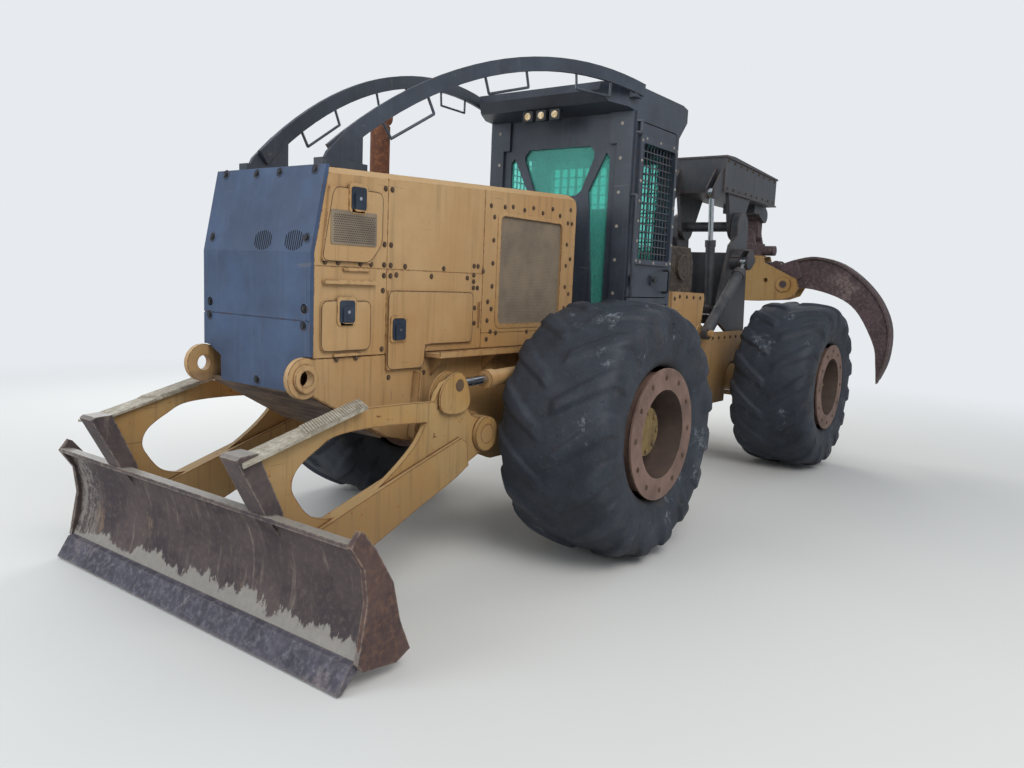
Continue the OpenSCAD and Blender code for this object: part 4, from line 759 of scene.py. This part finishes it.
def honeycomb(name, body, box, side, y):
    """A perforated plate's holes, as dark hexagons in rows laid just over the plate: painted shade."""
    holes, step = Shape(), HOLE_PITCH * 0.866
    x0, z0, x1, z1 = box
    for j in range(int((z1 - z0) / step)):
        for i in range(int((x1 - x0) / HOLE_PITCH)):
            cx, cz = x0 + (i + 0.5 + 0.5 * (j % 2)) * HOLE_PITCH, z0 + (j + 0.5) * step
            if cx <= x1 - HOLE_PITCH * 0.4:
                ring = [(cx + HOLE_R * math.cos(a), side * y, cz + HOLE_R * math.sin(a))
                        for a in [math.pi / 3 * k for k in range(6)]]
                holes.face(ring[::-side])
    holes.done(name, satin_black, body, smooth=None)


for hand, s in HANDS:
    for name, door, x, z in LATCHES:
        latch(f"latch_{name}_{hand}", f"{door}_{hand}", x, z, s)
    grille = panel(Shape(), GRILLE, 0.012, s, SKIN_Y - 0.004, SKIN_Y + 0.004)
    grille.done(f"grille_plate_{hand}", screen_mesh, f"{FRONT_DOOR}_{hand}")
    # dark hexagons over the grille plate stand for its holes: painted shade
    honeycomb(f"grille_hole_shades_{hand}", f"{FRONT_DOOR}_{hand}", wider(GRILLE, -0.010), s, SKIN_Y + 0.0045)

# %% Painted shade in the gaps round the doors, as thin dark strips
GAP_Y = 0.4955
DOOR_GAPS = {
    FRONT_DOOR: [(2.022, 1.912), (1.947, 2.300), (1.592, 2.300), (1.592, 2.022), (1.682, 1.912)],
    LOWER_DOOR: [(2.020, 1.430), (2.020, 1.700), (1.670, 1.700), (1.670, 1.430)],
    SIDE_DOOR: [(1.530, 1.302), (1.530, 1.760), (0.772, 1.760), (0.772, 1.442), (1.216, 1.442), (1.226, 1.302)],
}
# a thin dark strip along each door's edge stands for the shade in the gap between door and hood: painted shade
gap_shade_strip = trim("gap_shade_strip", "#4a3a2b", 0.8, 0.1)
for hand, s in HANDS:
    for door, corners in DOOR_GAPS.items():
        corners = [Vector(c) for c in corners]
        points = [(p.x, s * GAP_Y, p.y) for abc in zip(corners[-1:] + corners, corners, corners[1:] + corners[:1])
                  for p in bend(*abc, 0.1)]
        Shape().tube(points + points[:2], 0.0026, 6).done(f"gap_{door}_{hand}", gap_shade_strip, "front")

# %% Strips, screens and bolts on the hood's sides
HOOD_SIDE = 0.480          # y of the hood's side sheets
# a box, the radius of its corners and how far it stands out
STRIPS = (((1.630, 1.790, 2.010, 1.812), 0.006, 0.026), ((1.680, 1.862, 1.870, 1.880), 0.005, 0.016),
          ((1.730, 1.398, 1.930, 1.414), 0.005, 0.016), ((0.690, 1.540, 0.706, 1.700), 0.005, 0.020))
SCREEN = (-0.262, 1.540, 0.500, 2.285)
HOOD_DOTS = [(x, z) for x in (1.560, 1.508) for z in (2.33, 2.02, 1.905, 1.845)] + [
    (1.99, 1.905), (1.90, 1.905), (1.74, 1.905), (1.66, 1.905), (1.39, 1.903), (1.05, 1.903), (1.46, 1.852),
    (1.16, 1.852), (0.82, 1.852), (0.755, 1.93), (0.715, 1.93), (0.755, 1.872), (0.755, 1.83), (0.755, 1.79),
    (0.715, 1.79), (0.66, 1.90), (1.565, 1.76), (1.565, 1.425), (1.90, 1.385), (1.76, 1.385), (0.735, 1.66),
    (0.735, 1.56)]
HOOD_ROWS = ((0.60, 2.33, -0.36, 2.39, 5), (0.56, 2.26, 0.56, 1.50, 6), (0.60, 1.70, 0.60, 1.45, 3),
             (-0.33, 2.29, -0.33, 1.50, 6), (-0.385, 2.29, -0.385, 1.50, 4), (0.45, 2.335, -0.22, 2.335, 4),
             (0.50, 1.490, -0.22, 1.490, 3))
FRAME_DOTS = ((1.50, 1.255), (1.20, 1.265))     # on the frame under the hood
FRAME_DOT_Y = 0.4755


def side_rows(rows, s, y):
    """Rows of bolts on a side: from x, z to x, z and how many."""
    return [dot for x0, z0, x1, z1, n in rows for dot in row((x0, s * y, z0), (x1, s * y, z1), n, (0, s, 0))]


for hand, s in HANDS:
    strips = Shape()
    for box, r, out in STRIPS:
        panel(strips, box, r, s, HOOD_SIDE - 0.004, HOOD_SIDE + out)
    strips.done(f"hood_strips_{hand}", yellow_hood, "front")
    screen = panel(Shape(), wider(SCREEN, -0.004), 0.045, s, HOOD_SIDE - 0.022, HOOD_SIDE - 0.010, 6)
    sheet = screen.done(f"fine_screen_{hand}", screen_mesh, "front")
    if s > 0:
        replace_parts(sheet, "hood_screens")
    outer, inner = rounded(*wider(SCREEN, 0.020), 0.06, 6), rounded(*wider(SCREEN, -0.010), 0.04, 6)
    rings = [[(x, s * (HOOD_SIDE + out), z) for x, z in outline]
             for outline, out in ((outer, -0.001), (outer, 0.004), (inner, 0.007), (inner, -0.012))]
    Shape().loft(rings, capped=False).done(f"screen_frame_{hand}", yellow_hood, "front")
    y = HOOD_SIDE + 0.001
    dots = [((x, s * y, z), (0, s, 0)) for x, z in HOOD_DOTS] + side_rows(HOOD_ROWS, s, y)
    dots += [((x, s * FRAME_DOT_Y, z), (0, s, 0)) for x, z in FRAME_DOTS]
    bolts(f"hood_bolts_{hand}", "front", dots, dark_bolt, 0.0105, 0.007)

# %% [markdown]
# ## The front guard
# Its bolts sit in round cups, so that brush can't shear them off. Each cup is drawn as a dark disc with a bolt on it,
# its darkness painted shade, and it reads right even from far off. Above a kink the plate leans back, and the louvres
# are two round groups of slots in it, drawn as near-black faces on the plate: painted shade.

# %% Guard bolts in their cups, and the louvres
GUARD_X, KINK_Z = 2.085, 1.95
LEAN = 0.095 / (2.41 - KINK_Z)
GUARD_BOLTS = [(-0.388, 2.386), (-0.095, 2.380), (0.108, 2.381), (0.402, 2.383), (-0.410, 2.024), (0.432, 2.024),
               (-0.415, 1.653), (0.435, 1.656), (-0.420, 1.574), (0.430, 1.566), (0.032, 1.237)]
SLOT_PITCH, SLOT_HALF, GROUP_R, GROUP_Z = 0.0170, 0.0042, 0.054, 2.010
slot_shade_black = trim("slot_shade_black", "#0b0e14", 0.9, 0.0)
cup_shades, cup_edges, slot_shades, heads = Shape(), Shape(), Shape(), []
for y, z in GUARD_BOLTS:
    at = Vector((GUARD_X - max(0, z - KINK_Z) * LEAN, y, z))
    n = Vector((1, 0, LEAN if z > KINK_Z else 0.0)).normalized()
    # the cup is a dark disc with the bolt on it: its darkness is painted shade
    cup_shades.round(at - n * 0.006, at + n * 0.0012, 0.026, 0.026, 18)
    heads.append((tuple(at + n * 0.002), tuple(n)))
    ring = [p for p, _ in circle(at + n * 0.001, n, 0.027, 20)]
    cup_edges.tube(ring + ring[:1], 0.0028, 6)
for middle in (0.066, 0.330):
    for i in range(-4, 5):
        y, half = middle + i * SLOT_PITCH, GROUP_R * math.sqrt(1 - (i / 4.8) ** 2)
        low, high = GROUP_Z - half, GROUP_Z + half
        # each slot is a near-black face laid on the plate, which stands for the shade inside it: painted shade
        slot_shades.face([(GUARD_X + 0.0004 - (z - KINK_Z) * LEAN, y + SLOT_HALF * w, z)
                    for z, w in ((low, 1), (high, 1), (high, -1), (low, -1))])
facing = Shape().upright(rounded(-0.452, 1.5945, 0.452, 1.9475, 0.004), GUARD_X - 0.0005, GUARD_X + 0.0012)
cup_shades.done("guard_bolt_cup_shades", satin_black, "front")
bolts("guard_bolts", "front", heads, satin_black, 0.012, 0.008)
facing.done("guard_facing", black_guard, "front")
slot_shades.done("guard_louver_shades", slot_shade_black, "front")
cup_edges.done("guard_cup_edges", black_guard, "front")

# %% [markdown]
# ## Lamps and the cab's fittings
# The visor carries three work lamps and the cab's rear two, each a black housing with a bowl drawn pale cream, which
# is a painted reflection. The doors have pull handles and a lever, and grab rails stand beside them.

# %% Cab fittings
REAR_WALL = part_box("cab_shell")[0].x - AXLE
VISOR_LAMP_Z, REAR_LAMP_Z, REAR_LAMP_Y = 3.161, 3.071, 0.610
DOOR_FACE, POST_X = 0.7355, -0.851


def lamp_bowl(name, y, z, x0, x1):
    Shape().round((x0, y, z), (x1, y, z), 0.030, 0.027, 28).done(name, lens, "front")


def handle(s, x, z0, z1, y0, y1, out, radius):
    """A bent rod that stands out between two heights."""
    return Shape().tube([(x, s * y0, z0), (x, s * out, z0), (x, s * out, z1), (x, s * y1, z1)], radius)


lamp_bodies = Shape()
for n, y in enumerate((-0.130, 0.0, 0.130)):
    lamp_bodies.upright(rounded(y - 0.048, 3.120, y + 0.048, 3.2015, 0.014), -0.640, -0.594)
    lamp_bowl(f"work_lamp_{n + 1}", y, VISOR_LAMP_Z, -0.5955, -0.590)
for hand, s in HANDS:
    y0, y1 = sorted((s * 0.562, s * 0.658))
    lamp_bodies.upright(rounded(y0, 3.034, y1, 3.109, 0.014), REAR_WALL - 0.090, REAR_WALL - 0.036)
    lamp_bowl(f"rear_lamp_{hand}", s * REAR_LAMP_Y, REAR_LAMP_Z, REAR_WALL - 0.0885, REAR_WALL - 0.094)
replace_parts(lamp_bodies.done("lamp_bodies", satin_black, "front"), "lamps")
DOOR_ROWS = ((-1.57, 2.045, -1.57, 2.98, 7), (-0.953, 2.045, -0.953, 2.98, 7), (-1.50, 3.0, -1.02, 3.0, 3),
             (-1.50, 2.038, -1.02, 2.038, 3))
posts = []
for hand, s in HANDS:
    body = f"cab_door_{hand}"
    handle(s, -1.50, 1.985, 1.80, 0.716, 0.708, 0.768, 0.010).done(f"cab_pull_{hand}", satin_black, body)
    lever = panel(Shape(), (-1.335, 1.868, -1.255, 1.932), 0.01, s, 0.728, 0.7335)
    lever.round((-1.310, s * 0.733, 1.900), (-1.310, s * 0.748, 1.900), 0.012)
    panel(lever, (-1.325, 1.890, -1.262, 1.910), 0.006, s, 0.744, 0.752).done(f"cab_lever_{hand}", satin_black, body)
    bolts(f"door_screen_bolts_{hand}", body, side_rows(DOOR_ROWS, s, DOOR_FACE), zinc, 0.008, 0.006)
    handle(s, -0.862, 1.76, 2.55, 0.715, 0.715, 0.760, 0.013).done(f"cab_grab_{hand}", black_cab, "front")
    posts += row((POST_X, s * 0.60, 1.78), (POST_X, s * 0.60, 3.1), 6, (1, 0, 0))
bolts("cab_post_bolts", "front", posts, zinc, 0.009, 0.007)

# %% [markdown]
# ## The blade's arms
# Each arm is a thick web with a large smooth hole, a box rail along its foot and a straight tread bar on top. Flame
# cutting leaves soft curves: a closed spline through a few points gives the hole, with one sharp corner at its rear.

# %% Webs, rails and tread bars
def flowing(points, corners=(), n=6):
    """A closed smooth curve through the points, which keeps the corners of that number sharp."""
    out, count = [], len(points)
    for i in range(count):
        p0, p1, p2, p3 = [Vector(points[(i + k) % count]) for k in (-1, 0, 1, 2)]
        if i in corners:
            p0 = p1
        if (i + 1) % count in corners:
            p3 = p2
        for k in range(n):
            t = k / n
            out.append(tuple(0.5 * (2 * p1 + (p2 - p0) * t + (2 * p0 - 5 * p1 + 4 * p2 - p3) * t ** 2
                                    + (3 * p1 - p0 - 3 * p2 + p3) * t ** 3)))
    return out


def ring_of(x, z, r, n=28):
    return [(x + r * math.cos(2 * math.pi * k / n), z + r * math.sin(2 * math.pi * k / n)) for k in range(n)]


def pierced(shape, outline, holes, y0, y1):
    """A plate in x and z between y0 and y1, with holes through it."""
    loops = [outline] + holes
    triangles = tessellate_polygon([[Vector((*p, 0)) for p in loop] for loop in loops])
    sides = [[shape.bm.verts.new((x, y, z)) for loop in loops for x, z in loop] for y in (y0, y1)]
    faces = [shape.bm.faces.new([side[i] for i in t]) for side in sides for t in triangles]
    start = 0
    for loop in loops:
        for i in range(len(loop)):
            a, b = start + i, start + (i + 1) % len(loop)
            faces.append(shape.bm.faces.new([sides[0][a], sides[0][b], sides[1][b], sides[1][a]]))
        start += len(loop)
    bmesh.ops.recalc_face_normals(shape.bm, faces=faces)


ARM_PIVOT, LIFT_EYE = (0.880, 0.880), (1.160, 1.210)
PIVOT_BORE, LIFT_BORE = ring_of(*ARM_PIVOT, 0.0605), ring_of(*LIFT_EYE, 0.0355)
WINDOW = flowing([(2.334, 0.887), (2.215, 0.965), (2.080, 1.020), (1.776, 1.030), (1.412, 1.009), (1.497, 0.891),
                  (1.665, 0.762), (1.865, 0.654), (2.089, 0.590), (2.247, 0.624), (2.340, 0.726), (2.372, 0.805)],
                 corners=(4,))
FOOT = [(1.170, 0.640), (1.515, 0.510), (1.848, 0.375), (2.200, 0.290), (2.310, 0.330)]
WEB = [(2.640, 0.962), (1.930, 1.152), (1.890, 1.140), (1.600, 1.136), (1.348, 1.124), (1.325, 1.175), (1.280, 1.227),
       (1.225, 1.245), (1.150, 1.235), (1.095, 1.180), (1.065, 1.080), (1.010, 1.010), (0.940, 0.985), (0.880, 0.990),
       (0.802, 0.958), (0.770, 0.880), (0.802, 0.802), (0.880, 0.768), (1.040, 0.706), *FOOT, (2.400, 0.500),
       (2.470, 0.640)]
RAIL = [(1.052, 0.702), *FOOT, (2.385, 0.480), (2.330, 0.515), (2.054, 0.604), (1.590, 0.748), (1.130, 0.882),
        (1.075, 0.850)]
EYE = flowing([(1.160, 1.290), (1.085, 1.215), (1.060, 1.090), (1.140, 1.040), (1.300, 1.060), (1.330, 1.160),
               (1.270, 1.255)])
BAR_TOP = ((2.660, 0.975), (1.905, 1.172))       # x and z of a tread bar's ends
BAR_SKEW = ((0.632, -0.036), (0.772, 0.030))     # y of its edges, and how far each is shifted along it
TEETH, TOOTH_SKEW = 24, ((0.640, -0.030), (0.764, 0.026))


def on_bar(share):
    return BAR_TOP[0][0] + (BAR_TOP[1][0] - BAR_TOP[0][0]) * share


def bar_height(x):
    (x0, z0), (x1, z1) = BAR_TOP
    return z0 + (z1 - z0) * (x - x0) / (x1 - x0)


for hand, s in HANDS:
    arm = Shape()
    pierced(arm, WEB, [WINDOW, PIVOT_BORE], s * 0.672, s * 0.708)
    pierced(arm, RAIL, [], s * 0.642, s * 0.738)
    for y in (0.642, 0.724):
        pierced(arm, EYE, [LIFT_BORE], s * y, s * (y + 0.014))
    pierced(arm, ring_of(*ARM_PIVOT, 0.110), [PIVOT_BORE], s * 0.6405, s * 0.7395)
    made = arm.done(f"blade_arm_{hand}", yellow_arms, "blade", smooth=32)
    if s > 0:
        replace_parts(made, "blade_arms")
    pin = Shape()
    for y in (0.6415, 0.7265):
        pin.round((LIFT_EYE[0], s * y, LIFT_EYE[1]), (LIFT_EYE[0], s * (y + 0.012), LIFT_EYE[1]), 0.034, sides=24)
    pin.done(f"lift_pin_{hand}", dark_bolt, "blade")
    # the tread bar, skewed to the moldboard, and its toothed grip
    bar, grip = Shape(), Shape()
    for shape, ends, rise, down in ((bar, (0, 1), 0, 0.014), (grip, (0.46, 0.985), 0.0005, -0.003)):
        edges = [(on_bar(end) + shift, y) for end in ends for y, shift in BAR_SKEW]
        shape.loft([[(x, s * y, bar_height(x) + level) for x, y in (edges[i] for i in (0, 1, 3, 2))]
                    for level in (rise, rise - down)])
    for i in range(TEETH):
        x = on_bar(0.47 + 0.5 * i / TEETH)
        z = bar_height(x)
        tooth = [(x, z), (x - 0.012, z + 0.0035), (x - 0.010, z + 0.013), (x - 0.002, z + 0.010)]
        grip.loft([[(px + shift, s * y, pz - 0.26 * shift) for px, pz in tooth] for y, shift in TOOTH_SKEW])
    bar.done(f"tread_bar_{hand}", tread_steel, "blade", smooth=20)
    grip.done(f"tread_grip_{hand}", tread_steel, "blade", smooth=20)
Shape().box((2.130, -0.645, 0.345), (2.230, 0.645, 0.470), 0.004).done("arm_cross_tube", yellow_arms, "blade")

# %% [markdown]
# ## The winch's wire rope
# The rope lies in turns side by side on the drum, and each turn is real, because turns catch the light one by one.

# %% Wire rope on the drum
DRUM_AT = Vector((AXLE - 2.680, 0, 2.050))
DRUM_R, ROPE_R, ROPE_WIDTH, ROPE_TURNS = 0.115, 0.0085, 0.43, 25.0


def rope_tree(material):
    tree, add = node_group("rope_on_drum")
    spiral = add("CurveSpiral", {"Resolution": 28, "Rotations": ROPE_TURNS, "Height": ROPE_WIDTH,
                                 "Start Radius": DRUM_R, "End Radius": DRUM_R})
    ring = add("CurvePrimitiveCircle", {"Resolution": 8, "Radius": ROPE_R})
    rope = add("CurveToMesh", {"Curve": spiral, "Profile Curve": ring, "Fill Caps": True})
    return realised(tree, add, rope, material)


rope_paint = trim("wire_rope", "#57504a", 0.55, 0.8)
rope = grown("rope_seed", rope_tree(rope_paint), bpy.data.meshes.new("rope_seed"))
rope.transform(Matrix.Translation(DRUM_AT) @ Matrix.Rotation(math.radians(-90), 4, "X")
               @ Matrix.Translation((0, 0, -ROPE_WIDTH / 2)))
place_piece("winch_rope", rope, rope_paint, "winch_drum", smooth=70)

# %% [markdown]
# ## Pipes, bolts and valves at the rear
# Steel pipes carry oil up the arch and from a valve block to the frame. Each run lies on one body and ends at a
# plate, so that nothing has to bend.

# %% The rear half
REAR_SIDE, BOOM_SIDE = 0.4505, 0.3205       # y of the bolts' seats
REAR_ROWS = ((-2.31, 1.74, -2.31, 0.98, 6), (-2.42, 1.76, -2.90, 1.75, 4), (-3.30, 1.33, -4.42, 1.33, 8),
             (-4.54, 1.22, -4.54, 0.78, 4))
BOOM_ROWS = ((-3.70, 3.225, -5.16, 3.172, 9), (-3.70, 2.935, -5.16, 2.928, 9))
oil_pipe = trim("oil_pipe_black", "#25272b", 0.45, 0.1)
for hand, s in HANDS:
    bolts(f"rear_frame_bolts_{hand}", "rear", side_rows(REAR_ROWS, s, REAR_SIDE), dark_bolt, 0.013, 0.009)
    leg = Shape()
    for y in (0.370, 0.336):
        leg.tube([(-3.965, s * y, 1.62), (-3.955, s * y, 1.70), (-3.955, s * y, 2.12), (-3.93, s * y, 2.20)], 0.011)
    leg.done(f"arch_pipes_{hand}", oil_pipe, "arch")
    bolts(f"boom_bolts_{hand}", "boom", side_rows(BOOM_ROWS, s, BOOM_SIDE), dark_bolt, 0.011, 0.008)

# %% Bolts in the rims' rings
for end, x in ENDS:
    for hand, s in HANDS:
        face = max(abs(v.y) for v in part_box(f"rim_{end}_{hand}")) + 0.0005
        ring = circle((x, s * face, TYRE_R), (0, s, 0), 0.378, 12, 0.26)
        bolts(f"rim_bolts_{end}_{hand}", f"{end}_{hand}_wheel", ring, dark_bolt, 0.012, 0.006)

# %% Winch bars, valve block and its pipes
winch_bars = Shape()
for x, z in ((-2.900, 2.200), (-2.450, 2.175)):
    winch_bars.round((x, -0.266, z), (x, 0.266, z), 0.026)
winch_bars.box((-2.935, -0.264, 2.236), (-2.865, 0.264, 2.2495), 0.003)
winch_bars.done("winch_bars", tread_steel, "rear")
valves = Shape().box((-3.320, -0.130, 1.3905), (-3.060, 0.130, 1.560), 0.006)
lines = Shape()
for k in range(5):
    y = -0.100 + 0.050 * k
    valves.round((-3.325, y, 1.480), (-3.350, y, 1.480), 0.016)
    for x, top, foot, spread, radius in ((-3.275, 1.640 + 0.012 * k, -3.000, 1.6, 0.012),
                                         (-3.120, 1.600, -3.030, 1.4, 0.010)):
        lines.tube([(x, y, 1.555), (x, y, top), (foot, y * spread, top), (foot, y * spread, 1.392)], radius)
valves.done("valve_block", satin_black, "rear")
lines.done("valve_lines", oil_pipe, "rear")

# %% [markdown]
# ## The studio
# A pale floor, a pale world and a few very large soft lamps show a colour about as it is written. The camera stands
# where such a picture is taken from: at eye height, a few steps from the front left corner.

# %% Floor, lights and camera
BACKDROP = (0.80, 0.83, 0.86)
FLOOR_HALF, FADE_FROM, FADE_TO = 60.0, 3.8, 12.0
LAMPS = (
    # name, place, looks at, size, watts, colour
    ("key_over_left", (5, 7, 7.5), (0, 0, 1.2), (6, 5), 560, (1, 0.98, 0.95)),
    ("fill_front", (10, -2, 4), (1, 0, 1.2), (5, 4), 260, (0.92, 0.96, 1)),
    ("rim_behind", (-8, -5, 7), (-1, 0, 1.5), (6, 4), 520, (1, 0.97, 0.92)),
    ("fill_right", (0, -9, 5), (0, 0, 1.2), (7, 4), 320, (1, 1, 1)),
)
CAMERA_AT = (4.836 + AXLE, 3.843, 1.853)
YAW, TILT, ROLL = (math.radians(a) for a in (-143.53, -7.365, 2.476))
FOCAL_PX, WIDE_PX, SENSOR_MM = 806.1, 1024, 36.0


def studio_floor():
    mesh = bpy.data.meshes.new("studio_floor")
    r = FLOOR_HALF
    mesh.from_pydata([(-r, -r, 0), (r, -r, 0), (r, r, 0), (-r, r, 0)], [], [(0, 1, 2, 3)])
    floor = bpy.data.objects.new("studio_floor", mesh)
    bpy.context.scene.collection.objects.link(floor)
    paper = Finish("studio_paper")
    mesh.materials.append(paper.done((0.62, 0.62, 0.60, 1), 0.95))
    # far off, the floor fades into the backdrop, so that no horizon shows
    x, y = paper.at("X"), paper.at("Y")
    far = ((x * x + y * y) ** 0.5).between(FADE_FROM, FADE_TO)
    seen_straight = paper.node("ShaderNodeLightPath", {}, {}, "Is Camera Ray")
    glow = paper.node("ShaderNodeEmission", {}, {"Color": (*BACKDROP, 1)})
    shown = paper.node("ShaderNodeMixShader", {}, {0: far * seen_straight, 1: Mask(paper, paper.shader.outputs[0]),
                                                   2: glow})
    paper.tree.links.new(shown.socket, paper.tree.nodes["Material Output"].inputs["Surface"])


def studio_world():
    world = bpy.data.worlds.new("studio_world")
    bpy.context.scene.world = world
    world.use_nodes = True
    tree = world.node_tree
    tree.nodes.clear()
    ray = tree.nodes.new("ShaderNodeLightPath").outputs
    seen = add_node(tree, "ShaderNodeMath", {"operation": "MAXIMUM"},
                    {0: ray["Is Camera Ray"], 1: ray["Is Transmission Ray"]})
    lit = add_node(tree, "ShaderNodeBackground", {}, {0: (0.86, 0.92, 1.0, 1), 1: 0.62})
    shown = add_node(tree, "ShaderNodeBackground", {}, {0: (*BACKDROP, 1), 1: 1.0})
    mixed = add_node(tree, "ShaderNodeMixShader", {}, {0: seen, 1: lit, 2: shown})
    add_node(tree, "ShaderNodeOutputWorld", {}, {0: mixed})


def soft_lamp(name, at, towards, size, power, colour):
    data = bpy.data.lights.new(name, "AREA")
    data.shape, data.size, data.size_y = "RECTANGLE", *size
    data.energy, data.color = power, colour
    lamp = bpy.data.objects.new(name, data)
    bpy.context.scene.collection.objects.link(lamp)
    lamp.location = at
    lamp.rotation_euler = (Vector(towards) - Vector(at)).to_track_quat("-Z", "Y").to_euler()


def photo_camera():
    data = bpy.data.cameras.new("camera")
    data.sensor_width, data.lens = SENSOR_MM, SENSOR_MM * FOCAL_PX / WIDE_PX
    camera = bpy.data.objects.new("camera", data)
    bpy.context.scene.collection.objects.link(camera)
    camera.matrix_world = (Matrix.Translation(CAMERA_AT) @ Matrix.Rotation(YAW - math.pi / 2, 4, "Z")
                           @ Matrix.Rotation(math.pi / 2 + TILT, 4, "X") @ Matrix.Rotation(ROLL, 4, "Z"))
    bpy.context.scene.camera = camera


studio_floor()
studio_world()
for lamp in LAMPS:
    soft_lamp(*lamp)
photo_camera()
bpy.context.scene.view_settings.view_transform = "Standard"
